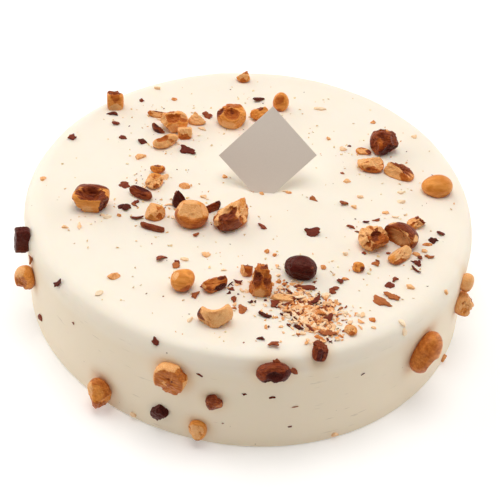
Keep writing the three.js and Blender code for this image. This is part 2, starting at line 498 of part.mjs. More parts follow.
// Each row is [x, y, long, wide, tall, turn] on the top.
const TOP_CRUMBS = [
  // chips of chocolate and dark skin
  [-0.6, 71.5, 7, 3.2, 3, 6], [-32, 26, 6.4, 3.6, 3, -16], [-21.8, -31.6, 3.4, 3, 2.6, 20],
  [-56.4, -1.6, 5.6, 3, 2.6, 8], [-54.4, -16.4, 5, 4.2, 3.2, 30], [-50, -13, 3, 2.2, 2, 20],
  [-48.2, -23.4, 4.4, 3, 2.4, 10], [-70, 51, 6, 2.8, 2.6, 14], [-25, 54.6, 4.4, 4, 3, 0],
  [-54, 31, 4.6, 3.4, 2.6, -40], [-63, 33, 3.2, 2.6, 2, 0], [-68, 43.4, 4, 3.2, 2.6, 0],
  [-86, 29.6, 4, 3.4, 3, 20], [-58, 63, 2.6, 2.4, 2, 0], [41, -3, 3.6, 3.2, 2.6, 0],
  [27.4, -1.6, 4.4, 2.2, 2, -10], [26.6, -24, 7, 4.2, 2.6, -18], [6.4, -22.8, 5.6, 2.2, 2, -60],
  [44.4, -18.4, 4.4, 1.8, 1.8, -20], [82.8, -18.4, 3.4, 2.8, 2.4, -30],
  [80, -23.4, 4, 3.2, 2.6, 0], [55, -41, 3, 2.8, 2.4, 0], [71, -42.6, 4, 2.2, 2, -50],
  [72.6, -38.4, 3, 2.8, 2.4, 0], [77.4, -34.4, 3, 2, 2, 0], [62.6, -49.4, 3.2, 2.6, 2.4, 30],
  [60, -53, 3.4, 2.8, 2.4, 20], [62, -60, 6.4, 3, 3, -28], [56.6, -63.6, 7.2, 3, 3, -34],
  [-18.4, -68, 3.6, 2.4, 2.6, 60], [-27.4, -51.2, 3.4, 2.6, 2, 0], [1.2, -73.4, 4.6, 2.8, 2.4, -40],
  [10.6, -76, 5, 2.8, 2.4, -24], [-3, -67.6, 3, 2.4, 2.2, 60], [-1.4, -58, 2.8, 2.4, 2, 0],
  [9.6, -88, 3, 2, 2, 0], [-35.2, -47.2, 4.4, 3.4, 3, 30],
  // pieces of nut
  [-93, -1.4, 3.6, 3, 2.4, 0], [-52.2, 19.2, 5.6, 4.6, 3.4, 30], [-30, 0.6, 5.4, 3.6, 2.4, -20],
  [-21, -5.6, 3.2, 3, 2.4, 0], [-12.6, 9.6, 2.8, 2.6, 2, 0], [-42.4, 66.8, 3.2, 2.8, 2.2, 0],
  [-60.4, -23.8, 5, 2.8, 2.2, 14], [-56, -22.4, 3, 2.4, 2, 0], [-71.4, -31.4, 5.4, 2, 2, -66],
  [-77.4, -32.6, 2.8, 2.4, 2, 0], [29.8, 67, 6.6, 2.6, 2.2, -10], [33.8, 43.4, 2.8, 2.4, 2, 0],
  [40.6, 36.4, 4, 3, 2.4, 0], [55.4, 59.4, 3, 2.4, 2, 0], [74.8, 50.4, 3, 3, 2.4, 0],
  [43, 12.4, 4, 3, 2.4, 0], [48.6, 2.4, 3, 2.4, 2, 0], [46, -5, 3.2, 2.8, 2.4, 0],
  [67, 1.2, 4, 2.8, 2.2, 0], [66.8, 7.4, 3, 2.4, 2, 0], [4.6, -0.6, 4, 1.8, 1.8, -24],
  [16.6, 1.4, 3.2, 2, 1.8, -20], [-15.8, -43.2, 3.2, 2.4, 2.2, 30], [9.2, -38.2, 2.8, 2.6, 2.2, 0],
  [41.8, -36, 3, 2.6, 2, 0], [32.8, -45.6, 2.8, 2.6, 2, 0], [42.4, -71, 3, 2.6, 2.4, 0],
  [53, -73.2, 4, 3, 2.6, -30], [68.2, -53.4, 4.6, 3.4, 2.6, 0], [83.8, -52, 2.8, 3, 2.4, 0],
  [77, -26.4, 4.4, 2, 1.8, 10], [72, -33, 4.6, 2.2, 2.2, -30], [-52.2, -60, 5.4, 3.4, 3, 20],
  [-56.6, -70.6, 4.4, 2.6, 2.6, 60], [-51.4, 75, 4.2, 3.2, 3, 0], [65, -72.6, 4, 3, 2.6, -20],
  [-27.4, -55, 3.2, 2.6, 2, 0], [-19, -80.8, 3.4, 2, 1.8, 70], [12.6, -40, 2.4, 2.2, 2, 0],
];

// Each row is [bearing, height, long, wide, tall, turn] on the side.
const SIDE_CRUMBS = [
  [-155, 41, 6, 2.4, 2.6, 66], [-139.7, 48.5, 5.8, 2.6, 2.6, 60], [-151.6, 12, 4.4, 3, 3, 70],
  [-108.9, 49.4, 4, 2.4, 2.6, -30], [-80.6, 53, 3.6, 3.4, 2.6, 0], [-76.6, 46, 3.8, 2, 2, -40],
  [-48.8, 48.4, 4.6, 2.4, 2.4, 60], [-114.4, 3.4, 3.4, 2.6, 2.6, 0], [-65.2, 2.6, 3.8, 2.4, 2.6, 0],
  [-27, 3.2, 4, 3, 3.4, 20], [40, 40, 4.4, 2.4, 2.6, 60], [76, 14, 4.2, 2.6, 2.6, -30],
  [138, 28, 4.4, 3, 2.8, 40],
];

// The heap of crumbs at the front: seeded crumbs over a long patch that widens to the right.
const HEAP_MIDDLE = [27, -72];
const HEAP_HALF = [15, 8.5];
const HEAP_TURN = -35;
const HEAP_CRUMBS = 46;
const HEAP_SEED = 77;

function heapRows() {
  const draw = draws(HEAP_SEED);
  const turn = THREE.MathUtils.degToRad(HEAP_TURN);
  const rows = [];
  for (let count = 0; count < HEAP_CRUMBS; count += 1) {
    const around = 2 * Math.PI * draw();
    const spread = Math.sqrt(draw());
    const along = HEAP_HALF[0] * spread * Math.cos(around);
    const across = HEAP_HALF[1] * spread * Math.sin(around);
    const x = HEAP_MIDDLE[0] + along * Math.cos(turn) - across * Math.sin(turn);
    const y = HEAP_MIDDLE[1] + along * Math.sin(turn) + across * Math.cos(turn);
    const long = 2.2 + 2.2 * draw();
    rows.push([x, y, long, 1.6 + 0.8 * draw(), 1.8 + 0.8 * draw(), 180 * draw()]);
  }
  return rows;
}

// ---------------------------------------------------------------- putting it together

// Whether a crumb at this spot would touch one of the larger pieces.
function besidePiece(matrix, size, pieces) {
  const spot = new THREE.Vector3().setFromMatrixPosition(matrix);
  for (const piece of pieces) {
    const nearest = piece.box.clampPoint(spot, new THREE.Vector3());
    if (nearest.distanceTo(spot) < size[0] / 2 + GAP) {
      return true;
    }
  }
  return false;
}

function cardMatrix() {
  const lean = THREE.MathUtils.degToRad(90 - CARD_LEAN);
  const matrix = new THREE.Matrix4().makeTranslation(CARD_AT[0], CARD_AT[1], CAKE_HEIGHT);
  matrix.multiply(new THREE.Matrix4().makeRotationZ(THREE.MathUtils.degToRad(CARD_YAW)));
  matrix.multiply(new THREE.Matrix4().makeRotationX(lean));
  const halfDiagonal = (CARD_LONG + CARD_SHORT) / 2 / Math.SQRT2;
  matrix.multiply(new THREE.Matrix4().makeTranslation(0, halfDiagonal - CARD_SUNK, 0));
  return matrix.multiply(new THREE.Matrix4().makeRotationZ(Math.PI / 4));
}

function namedMesh(name, geometry, look, matrix) {
  const material = new THREE.MeshStandardMaterial({ ...look, metalness: 0 });
  const mesh = new THREE.Mesh(geometry, material);
  mesh.name = name;
  matrix.decompose(mesh.position, mesh.quaternion, mesh.scale);
  return mesh;
}

// The card's solid, or the slot it stands in when it is grown.
function cardGeometry(grow) {
  const long = CARD_LONG + 2 * grow;
  const short = CARD_SHORT + 2 * grow;
  return welded(new THREE.BoxGeometry(long, short, CARD_THICK + 2 * grow));
}

// A piece of topping, cut flat where it meets the cake and clear of the pieces made before it.
function placedPiece(row, seat, glaze, earlier) {
  const matrix = standing(seat, row.rise, row.turn);
  const inverse = matrix.clone().invert();
  const geometry = pieceGeometry(row);
  let body = solid(geometry).subtract(moved(glaze, inverse));
  const box = new THREE.Box3().setFromObject(new THREE.Mesh(geometryOf(body)));
  box.applyMatrix4(matrix);
  for (const other of earlier) {
    if (box.intersectsBox(other.box)) {
      body = body.subtract(moved(other.grown, inverse));
    }
  }
  const placed = geometryOf(body).applyMatrix4(matrix);
  placed.computeBoundingBox();
  const grown = geometry.clone();
  const widest = Math.min(...row.size);
  const growth = 1 + (2 * GAP) / widest;
  grown.scale(growth, growth, growth).applyMatrix4(matrix);
  const mesh = namedMesh(row.name, geometryOf(body), row.look, matrix);
  return { mesh, grown, box: placed.boundingBox };
}

const entremet = new THREE.Group();
const clearOfGlaze = cakeForm(GAP);
const pieces = [];
for (const row of TOP_PIECES) {
  pieces.push(placedPiece(row, onTop(...row.at), clearOfGlaze, pieces));
}
for (const row of SIDE_PIECES) {
  pieces.push(placedPiece(row, onSide(...row.at), clearOfGlaze, pieces));
}
for (const piece of pieces) {
  entremet.add(piece.mesh);
}

let cake = solid(cakeForm(0));
const crumbRows = [
  ...TOP_CRUMBS.map((row) => ({ row, seat: onTop(row[0], row[1]) })),
  ...SIDE_CRUMBS.map((row) => ({ row, seat: onSide(row[0], row[1]) })),
  ...heapRows().map((row) => ({ row, seat: onTop(row[0], row[1]) })),
];
crumbRows.forEach(({ row, seat }, index) => {
  const size = row.slice(2, 5);
  const matrix = standing(seat, size[2] * 0.12, row[5]);
  if (!besidePiece(matrix, size, pieces)) {
    cake = cake.add(moved(crumbGeometry(size, index + 1), matrix));
  }
});
cake = cake.subtract(moved(cardGeometry(GAP), cardMatrix()));

entremet.add(namedMesh("cake", geometryOf(cake), CREAM, new THREE.Matrix4()));
entremet.add(namedMesh("card", cardGeometry(0), PAPER, cardMatrix()));

export default entremet;
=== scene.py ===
# %% [markdown]
# # A cream entremet with roasted hazelnuts
#
# An entremet is a mousse cake under a set glaze. This one is a plain round of cream glaze with
# broken hazelnuts, chips of dark chocolate and crumbs on it, and a small card pushed into its top.
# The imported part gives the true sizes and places, so the lesson starts by loading it as a frame.
# Everything made here is then laid over those solids.

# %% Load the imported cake
import itertools
import math

import bmesh
import bpy
import numpy as np
from mathutils import Matrix, Vector


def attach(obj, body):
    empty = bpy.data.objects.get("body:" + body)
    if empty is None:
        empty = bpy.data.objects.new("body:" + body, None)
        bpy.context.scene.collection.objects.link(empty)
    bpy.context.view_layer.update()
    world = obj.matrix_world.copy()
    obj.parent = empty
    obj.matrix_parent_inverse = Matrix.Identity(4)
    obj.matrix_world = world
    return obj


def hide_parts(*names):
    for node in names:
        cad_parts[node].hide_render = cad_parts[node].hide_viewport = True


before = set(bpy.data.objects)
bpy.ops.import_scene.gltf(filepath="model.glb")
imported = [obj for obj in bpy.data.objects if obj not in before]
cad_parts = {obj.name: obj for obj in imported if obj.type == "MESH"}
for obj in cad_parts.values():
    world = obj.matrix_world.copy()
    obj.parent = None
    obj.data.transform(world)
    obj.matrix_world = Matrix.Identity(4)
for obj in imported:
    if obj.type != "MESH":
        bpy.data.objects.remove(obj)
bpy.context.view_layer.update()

# %% [markdown]
# ## The camera
#
# The cake is seen from the front and from well above, nearly in the middle, through a long lens.
# A camera can be placed by its own spot and the spot it looks at. The photograph is turned by a
# few degrees, so the camera rolls about its line of sight by the same amount.

# %% Place the camera
CAMERA_AT = Vector((0.0110, -0.37805, 0.3659))
LOOKS_AT = Vector((0.0011, -0.0098, 0.026))
LENS_MM = 79.19
SENSOR_MM = 36
NEAREST_SEEN = 0.01
CAMERA_ROLL = math.radians(3.254)

camera = bpy.data.objects.new("camera", bpy.data.cameras.new("camera"))
bpy.context.scene.collection.objects.link(camera)
forward = (LOOKS_AT - CAMERA_AT).normalized()
level = forward.cross(Vector((0, 0, 1))).normalized()
turned = Matrix.Rotation(CAMERA_ROLL, 3, forward * -1)
right = turned @ level
upward = turned @ level.cross(forward)
camera.matrix_world = Matrix.Translation(CAMERA_AT) @ Matrix(
    (right, upward, forward * -1)
).transposed().to_4x4()
camera.data.lens = LENS_MM
camera.data.sensor_width = SENSOR_MM
camera.data.clip_start = NEAREST_SEEN
bpy.context.scene.camera = camera
print("camera stands", round((CAMERA_AT - LOOKS_AT).length, 3), "m from the cake")

# %% [markdown]
# ## Helpers for node materials
#
# Every finish here is a small tree of shader nodes that feeds one Principled shader. Writing a
# tree out node by node is long, so one helper adds a node, sets its choices and wires its inputs:
# an input that is given as a socket is linked, and any other is set as a value. The same helpers
# serve the world, because it has a tree of nodes too.

# %% Add and wire nodes
def new_finish(name):
    """A new material and the Principled shader that its nodes feed."""
    made = bpy.data.materials.new(name)
    made.use_nodes = True
    return made, made.node_tree.nodes["Principled BSDF"]


def wire(finish, socket, value):
    """Links a socket to a socket, or sets it to a value."""
    if isinstance(value, bpy.types.NodeSocket):
        finish.node_tree.links.new(value, socket)
    else:
        socket.default_value = value


def add_node(finish, kind, inputs, **choices):
    """A new node with its choices made and its inputs wired."""
    node = finish.node_tree.nodes.new("ShaderNode" + kind)
    for choice, value in choices.items():
        setattr(node, choice, value)
    for name, value in inputs.items():
        wire(finish, node.inputs[name], value)
    return node


def set_values(shader, values):
    """Sets what is the same all over a surface on the shader's own sockets."""
    for name, value in values.items():
        shader.inputs[name].default_value = value

# %% Mix, grade and raise
def mixed(finish, share, under, over):
    """One colour laid over another by a share from 0 to 1."""
    under, over = (
        (*colour, 1) if isinstance(colour, tuple) else colour for colour in (under, over)
    )
    inputs = {0: share, 6: under, 7: over}
    return add_node(finish, "Mix", inputs, data_type="RGBA").outputs[2]


def graded(finish, value, low, high, start=0.0, end=1.0):
    """Runs from start to end as a value goes from low to high."""
    inputs = {"Value": value, "From Min": low, "From Max": high, "To Min": start, "To Max": end}
    return add_node(finish, "MapRange", inputs).outputs["Result"]


def sums(finish, how, first, second):
    """Two values put together by a Math node, in the way that its name says."""
    return add_node(finish, "Math", {0: first, 1: second}, operation=how).outputs[0]


def cloudy(finish, vector, scale, detail=3.0, rough=0.55):
    """Noise from 0 to 1 whose patches are about 1/scale across."""
    inputs = {"Vector": vector, "Scale": scale, "Detail": detail, "Roughness": rough}
    return add_node(finish, "TexNoise", inputs).outputs["Fac"]


def read_mark(finish, mark, output="Fac"):
    """The values that a mesh carries at its corners under a name."""
    return add_node(finish, "Attribute", {}, attribute_name=mark).outputs[output]


def raised(finish, shader, height, distance, strength=1.0):
    """Bumps the shader's surface by a height from 0 to 1 over a distance in metres."""
    inputs = {"Height": height, "Distance": distance, "Strength": strength}
    bump = add_node(finish, "Bump", inputs)
    wire(finish, shader.inputs["Normal"], bump.outputs["Normal"])

# %% [markdown]
# ## Light and floor
#
# Food on white is lit by one large soft box straight overhead, with a pale wall to the left and to
# the right that lights the rims and the sides. What lies behind the camera stays dim, so that dark
# chocolate and nut skin stay dark. A world stands for the walls: it is bright where the direction
# points well to either side, and dim elsewhere. The plain display transform keeps the cream as
# light as it is, where a film-like one would grey it.

# %% Brighten the walls to either side
WALL_DIM = 0.18
WALL_BRIGHT = 1.8
WALL_WAY = (0.87, 0.45, 0.1)
WALL_EDGES = (0.58, 0.86)
LEFT_WALL_NEARER = 0.05
WALL_WHITE = (1.0, 0.985, 0.96, 1)

world = bpy.data.worlds.new("pale walls")
world.use_nodes = True
bpy.context.scene.world = world
bpy.context.scene.view_settings.view_transform = "Standard"

looking = add_node(world, "TexCoord", {}).outputs["Generated"]
parts = add_node(world, "SeparateXYZ", {"Vector": looking}).outputs
from_left = sums(world, "SUBTRACT", parts["X"], LEFT_WALL_NEARER)
sideways = add_node(world, "Math", {0: from_left}, operation="ABSOLUTE").outputs[0]
either_side = add_node(world, "CombineXYZ", {"X": sideways, "Y": parts["Y"], "Z": parts["Z"]})
facing = add_node(
    world, "VectorMath", {0: either_side.outputs[0], 1: WALL_WAY}, operation="DOT_PRODUCT"
)
backdrop = world.node_tree.nodes["Background"]
glow = graded(world, facing.outputs["Value"], *WALL_EDGES, WALL_DIM, WALL_BRIGHT)
wire(world, backdrop.inputs["Strength"], glow)
wire(world, backdrop.inputs["Color"], WALL_WHITE)
print("walls from", WALL_DIM, "to", WALL_BRIGHT)

# %% Hang the soft box
SOFT_BOX_WATTS = 5.5
SOFT_BOX_SIZE = 0.7
SOFT_BOX_AT = Vector((0, 0, 0.95))
SOFT_BOX_WHITE = (1.0, 0.975, 0.945)

lamp = bpy.data.lights.new("soft box", "AREA")
lamp.shape = "DISK"
lamp.size = SOFT_BOX_SIZE
lamp.energy = SOFT_BOX_WATTS
lamp.color = SOFT_BOX_WHITE
soft_box = bpy.data.objects.new("soft box", lamp)
soft_box.location = SOFT_BOX_AT
bpy.context.scene.collection.objects.link(soft_box)
print("soft box", round(SOFT_BOX_AT.length, 2), "m above the table")

# %% [markdown]
# The cake stands on a plain white table. A flat square with a very faint cloudiness is enough, and
# a little glow of its own lifts it to white next to the cake, where a stronger lamp would bleach
# the cream.

# %% Lay the floor
FLOOR_HALF = 1.5
TABLE_GREY = (0.93, 0.93, 0.93)
TABLE_WHITE = (0.95, 0.95, 0.95)
TABLE_GLOW = 0.19

floor_finish, floor_shader = new_finish("white table")
floor_place = add_node(floor_finish, "TexCoord", {}).outputs["Object"]
floor_grain = cloudy(floor_finish, floor_place, 40)
floor_white = mixed(floor_finish, floor_grain, TABLE_GREY, TABLE_WHITE)
wire(floor_finish, floor_shader.inputs["Base Color"], floor_white)
set_values(floor_shader, {
    "Roughness": 0.7,
    "Emission Color": (1, 1, 1, 1),
    "Emission Strength": TABLE_GLOW,
})

floor_mesh = bpy.data.meshes.new("floor")
corner_ways = ((-1, -1, 0), (1, -1, 0), (1, 1, 0), (-1, 1, 0))
floor_corners = [Vector(way) * FLOOR_HALF for way in corner_ways]
floor_mesh.from_pydata(floor_corners, [], [(0, 1, 2, 3)])
floor_mesh.materials.append(floor_finish)
floor = bpy.data.objects.new("floor", floor_mesh)
bpy.context.scene.collection.objects.link(floor)
print("floor laid at the cake's base")

# %% [markdown]
# ## Sizes and the cake's surface
#
# The glazed cake is a low drum with a rounded top edge, a hair out of round. Its radius, height
# and edge are the driving sizes, in millimetres, and one function says how far out of round it
# is at each bearing. The same surface later tells each nut where it sits and which way is out.

# %% Say where the glaze is
MM = 0.001
CAKE_RADIUS = 100
CAKE_HEIGHT = 52
FOOT_SPREAD = 1
RIM_ROUND = 8
FOOT_ROUND = 1.2
TWO_LOBES = 0.005
THREE_LOBES = 0.008
FLAT_RADIUS = CAKE_RADIUS - RIM_ROUND
WALL_TOP = CAKE_HEIGHT - RIM_ROUND


def out_of_round(bearing):
    """The share of the plain radius that the cake has at a bearing."""
    return 1 - TWO_LOBES * np.sin(2 * bearing) - THREE_LOBES * np.cos(3 * bearing)


def on_top(x, y):
    """A spot on the top: the point, the way out of the glaze and the way to the right."""
    bearing = math.atan2(y, x)
    radius = math.hypot(x, y) / out_of_round(bearing)
    tilt = math.asin(min(max((radius - FLAT_RADIUS) / RIM_ROUND, 0), 1))
    out = np.array(
        (math.cos(bearing) * math.sin(tilt), math.sin(bearing) * math.sin(tilt), math.cos(tilt))
    )
    return np.array((x, y, WALL_TOP + RIM_ROUND * math.cos(tilt))), out, np.array((1.0, 0, 0))


def on_side(bearing_degrees, height):
    """The same for a spot on the side."""
    bearing = math.radians(bearing_degrees)
    past = min(max((height - WALL_TOP) / RIM_ROUND, 0), 1)
    tilt = math.acos(past)
    spread = FOOT_SPREAD * max(0, 1 - height / WALL_TOP)
    radius = (FLAT_RADIUS + RIM_ROUND * math.sin(tilt) + spread) * out_of_round(bearing)
    across, away = math.cos(bearing), math.sin(bearing)
    out = np.array((across * math.sin(tilt), away * math.sin(tilt), past))
    return np.array((radius * across, radius * away, height)), out, np.array((-away, across, 0))


def standing(seat, rise, turn):
    """The place and the three directions of a piece that stands on a seat."""
    point, out, rightward = seat
    away = np.cross(out, rightward)
    away /= np.linalg.norm(away)
    rightward = np.cross(away, out)
    cosine, sine = math.cos(math.radians(turn)), math.sin(math.radians(turn))
    turned_right = cosine * rightward + sine * away
    turned_away = cosine * away - sine * rightward
    return point + out * rise, np.array((turned_right, turned_away, out))


print("rim starts", FLAT_RADIUS, "mm from the middle and", WALL_TOP, "mm up")

# %% [markdown]
# ## Noise and meshes in arrays
#
# Nuts and crumbs are rough at every size. Blender can displace a surface when it renders, but
# then the mesh itself stays smooth. Here the roughness is worked out in arrays and moved into the
# corners, so that the meshes are rough in themselves. Value noise is enough: random numbers at the
# whole-number spots of space, blended smoothly between them.

# %% Make noise
WORD = 0xFFFFFFFF
HALF_WORD = 0xFFFF
STIR_X = 374761393
STIR_Y = 668265263
STIR_Z = 2147483029
STIR_SEED = 974634777
STIR_AGAIN = 1274126177


def lattice(cells, seed):
    """A random number from -1 to 1 for each whole-number spot."""
    mixed_up = cells[..., 0] * STIR_X + cells[..., 1] * STIR_Y + cells[..., 2] * STIR_Z
    mixed_up = (mixed_up + seed * STIR_SEED) & WORD
    mixed_up = ((mixed_up ^ (mixed_up >> 13)) * STIR_AGAIN) & WORD
    return ((mixed_up ^ (mixed_up >> 16)) & HALF_WORD) * 2 / HALF_WORD - 1


def soft_noise(points, seed):
    """Smooth noise from -1 to 1 at each point."""
    cells = np.floor(points).astype(np.int64)
    part = points - cells
    part = part * part * (3 - 2 * part)
    total = np.zeros(len(points))
    for corner in itertools.product((0, 1), repeat=3):
        share = np.prod(np.where(corner, part, 1 - part), axis=1)
        total += share * lattice(cells + np.array(corner), seed)
    return total


def rough_noise(points, seed, layers=3):
    """Soft noise with finer and fainter layers on it."""
    total = np.zeros(len(points))
    for layer in range(layers):
        total += soft_noise(points * 2**layer, seed + layer) / 2**layer
    return total / (2 - 2 ** (1 - layers))


def blend_in(value, low, high):
    """Runs smoothly from 0 to 1 as a value goes from low to high."""
    share = np.clip((value - low) / (high - low), 0, 1)
    return share * share * (3 - 2 * share)


print("noise at one spot:", soft_noise(np.array(((0.3, 0.6, 0.9),)), 1).round(3))

# %% Build meshes from arrays
BALLS = {}


def ball(detail):
    """The directions and triangles of an even ball."""
    if detail not in BALLS:
        shape = bmesh.new()
        bmesh.ops.create_icosphere(shape, subdivisions=detail, radius=1)
        ways = np.array([corner.co for corner in shape.verts])
        triangles = np.array([[corner.index for corner in face.verts] for face in shape.faces])
        shape.free()
        BALLS[detail] = ways / np.linalg.norm(ways, axis=1)[:, None], triangles
    return BALLS[detail]


def make_object(name, corners, faces, finish, marks, smooth=True):
    """A mesh object from corners in millimetres, with a value or a vector at each corner."""
    mesh = bpy.data.meshes.new(name)
    mesh.vertices.add(len(corners))
    mesh.vertices.foreach_set("co", (corners * MM).astype(np.float32).ravel())
    mesh.loops.add(faces.size)
    mesh.loops.foreach_set("vertex_index", faces.astype(np.int32).ravel())
    mesh.polygons.add(len(faces))
    starts = np.arange(0, faces.size, faces.shape[1], dtype=np.int32)
    mesh.polygons.foreach_set("loop_start", starts)
    mesh.polygons.foreach_set("use_smooth", np.full(len(faces), smooth))
    for mark, values in marks.items():
        values = np.asarray(values, np.float32)
        kind, field = ("FLOAT", "value") if values.ndim == 1 else ("FLOAT_VECTOR", "vector")
        mesh.attributes.new(mark, kind, "POINT").data.foreach_set(field, values.ravel())
    mesh.update(calc_edges=True)
    mesh.materials.append(finish)
    made = bpy.data.objects.new(name, mesh)
    bpy.context.scene.collection.objects.link(made)
    return made


print("a ball of detail 5 has", len(ball(5)[1]), "triangles")

# %% [markdown]
# ## Pieces of hazelnut as rows
#
# A broken nut is a rounded kernel with flat breaks, a scooped hollow where the two halves parted,
# and skin that has flaked off in places. Each piece is one row: where it sits, how it is turned,
# its size, and its breaks and hollows as directions. Directions are a turn and a lift in degrees in
# the piece's own frame: X right, Y away, Z out of the glaze. Paint rows say what shows there:
# flesh is the pale inside, roast the orange-tan outside, amber the darker roast and toast between
# the two, skin the dark red-brown husk and dark the nearly black one. Husk is skin that has half
# rubbed off the amber.
#
# Long rows of the same words are hard to read, so a helper holds what a plain kernel has, and each
# row says only what is its own.

# %% Say what a row holds
FRONT, BACK, LEFT, RIGHT = 270, 90, 180, 0

PLAIN_KERNEL = {
    "boxy": 2,  # 2 is round, and more gives squarer shoulders
    "breaks": [],  # a turn, a lift, and how far from the middle, in half sizes
    "hollows": [],  # a turn, a lift, how far out, and the radius, in half sizes
    "facets": 0,  # how many small flats are chipped off it
    "point": None,  # where a tip stands out
    "lump": 0.07,  # how deep its long soft waves are
    "ragged": 0.05,  # how uneven its breaks are
    "crag": 0.09,  # how deep the steps of a broken face are
    "weave": 1,  # how close its streaks lie
    "paint": [],  # what shows, round which turn and lift, and how many degrees wide
}


def piece(name, at, rise, turn, size, kinds, seed, **form):
    """A row: rise lifts its middle off the glaze, kinds are its outside, breaks and hollows."""
    kinds = kinds.split()
    own = {"name": name, "at": at, "rise": rise, "turn": turn, "size": size, "seed": seed}
    return {**PLAIN_KERNEL, **own, **form, "kinds": kinds * 3 if len(kinds) == 1 else kinds}


print("a plain kernel has", len(PLAIN_KERNEL), "values that a row may change")

# %% List the pieces left of the card and along the back rim
BACK_LEFT_PIECES = [
    piece("nut_cup_left", (-68.5, -17.6), 4.2, -3, (14.6, 10.4, 11.4), "roast skin husk", 1, boxy=4.6,
          breaks=[(330, -12, 0.9), (205, -25, 0.95), (270, 82, 0.86)], hollows=[(268, 68, 0.98, 0.66)],
          ragged=0.2,
          paint=[("husk", 176, 28, 26), ("skin", 90, 44, 44), ("skin", 268, 62, 17),
                 ("tan", 262, -6, 22)]),
    piece("nut_block_back_left", (-69.8, 57), 3.8, 8, (8, 6.5, 10.4), "roast skin amber", 2, boxy=4,
          breaks=[(95, 80, 0.8), (30, 20, 0.95)], hollows=[(270, 78, 1.2, 0.5)], ragged=0.16,
          paint=[("flesh", FRONT, -40, 40), ("amber", FRONT, 42, 26), ("husk", BACK, 62, 44)]),
    piece("nut_back_rim", (-9.8, 87.5), 2.6, 0, (7.6, 6, 7.2), "roast tan amber", 3,
          breaks=[(150, 45, 0.4), (270, 20, 0.75), (10, 20, 0.75)], facets=2, point=(50, 60),
          ragged=0.08,
          paint=[("amber", 40, 55, 40), ("flesh", 250, 30, 26), ("amber", FRONT, -20, 26)]),
    piece("nut_long_back", (-48.5, 51.8), 1.5, -8, (10.4, 4.2, 4.4), "roast tan amber", 4,
          breaks=[(90, 60, 0.5), (270, 40, 0.6)], facets=3, ragged=0.12,
          paint=[("skin", BACK, 66, 46), ("amber", 200, 10, 22)]),
    piece("nut_cup_cluster", (-40, 43.8), 3.6, 10, (13, 10.6, 10.4), "roast tan amber", 5, boxy=2.4,
          breaks=[(100, 60, 0.8), (200, 25, 0.85)],
          hollows=[(256, 60, 0.98, 0.58), (330, 40, 1.2, 0.5)], facets=2, ragged=0.16,
          paint=[("tan", FRONT, 5, 28), ("amber", 120, 40, 30), ("tan", 10, 40, 24)]),
    piece("nut_wedge_cluster", (-29.4, 49.5), 2, 0, (10, 7, 7.4), "tan flesh tan", 6,
          breaks=[(30, 30, 0.45), (160, 20, 0.6), (280, 45, 0.5)], facets=3, point=(90, 60),
          ragged=0.14, paint=[("amber", 15, 10, 34), ("roast", 80, 60, 24)]),
    piece("nut_block_cluster", (-34, 37.6), 2.4, 12, (6.8, 6, 6.8), "flesh flesh tan", 7, boxy=3.4,
          breaks=[(90, 70, 0.7)], facets=2, ragged=0.1,
          paint=[("amber", 260, -30, 46), ("roast", 210, 10, 24)]),
    piece("skin_flake_cluster", (-46.6, 40), 1.6, -25, (7, 3, 5.6), "husk skin dark", 8,
          breaks=[(40, 50, 0.3)], hollows=[(250, 70, 1.0, 0.6)], facets=3, point=(165, 50),
          ragged=0.16, paint=[("dark", 270, -10, 26)]),
    piece("nut_slice", (-42.4, 29.4), 2.4, 30, (11.8, 6.2, 7.4), "tan tan amber", 9,
          breaks=[(100, 40, 0.62), (290, 20, 0.84)], hollows=[(222, 64, 1.06, 0.58)], facets=1,
          point=(4, 20), ragged=0.08, paint=[("roast", RIGHT, 10, 20), ("amber", 225, 60, 20)]),
    piece("nut_stack_top", (-43.2, 9.2), 2.2, 0, (6.6, 4, 4.8), "amber roast amber", 10,
          breaks=[(90, 75, 0.5), (270, 20, 0.6)], facets=3, ragged=0.16,
          paint=[("skin", BACK, 70, 44)]),
    piece("nut_stack_low", (-43.7, 0.6), 1.9, -8, (9, 9.6, 5.8), "tan", 11,
          breaks=[(268, 62, 0.4), (180, 20, 0.7), (0, 20, 0.75)], facets=4, ragged=0.2, crag=0.2,
          paint=[("roast", BACK, 50, 36), ("amber", 300, 5, 18)]),
    piece("skin_shell_left", (-48.6, -8), 1.8, -24, (10.8, 5.4, 5), "husk skin skin", 12, boxy=2.2,
          breaks=[(260, 30, 0.7)], hollows=[(80, 62, 0.95, 0.72)], point=(355, 0), ragged=0.12,
          paint=[("dark", 90, 40, 34)]),
    piece("nut_smooth_left", (-41, -21), 2.2, -12, (10, 7.6, 7), "roast tan roast", 13, boxy=2.5,
          breaks=[(195, 22, 0.5), (330, 20, 0.66), (270, 80, 0.74)], facets=2, ragged=0.05,
          paint=[("tan", 250, 75, 48), ("amber", 330, 0, 24)]),
    piece("skin_flake_left", (-40.5, -29), 1, -16, (11, 3.6, 3.4), "husk skin skin", 14, boxy=2.6,
          breaks=[(90, 50, 0.5)], facets=3, ragged=0.2),
]
print(len(BACK_LEFT_PIECES), "pieces on the left and at the back of the top")

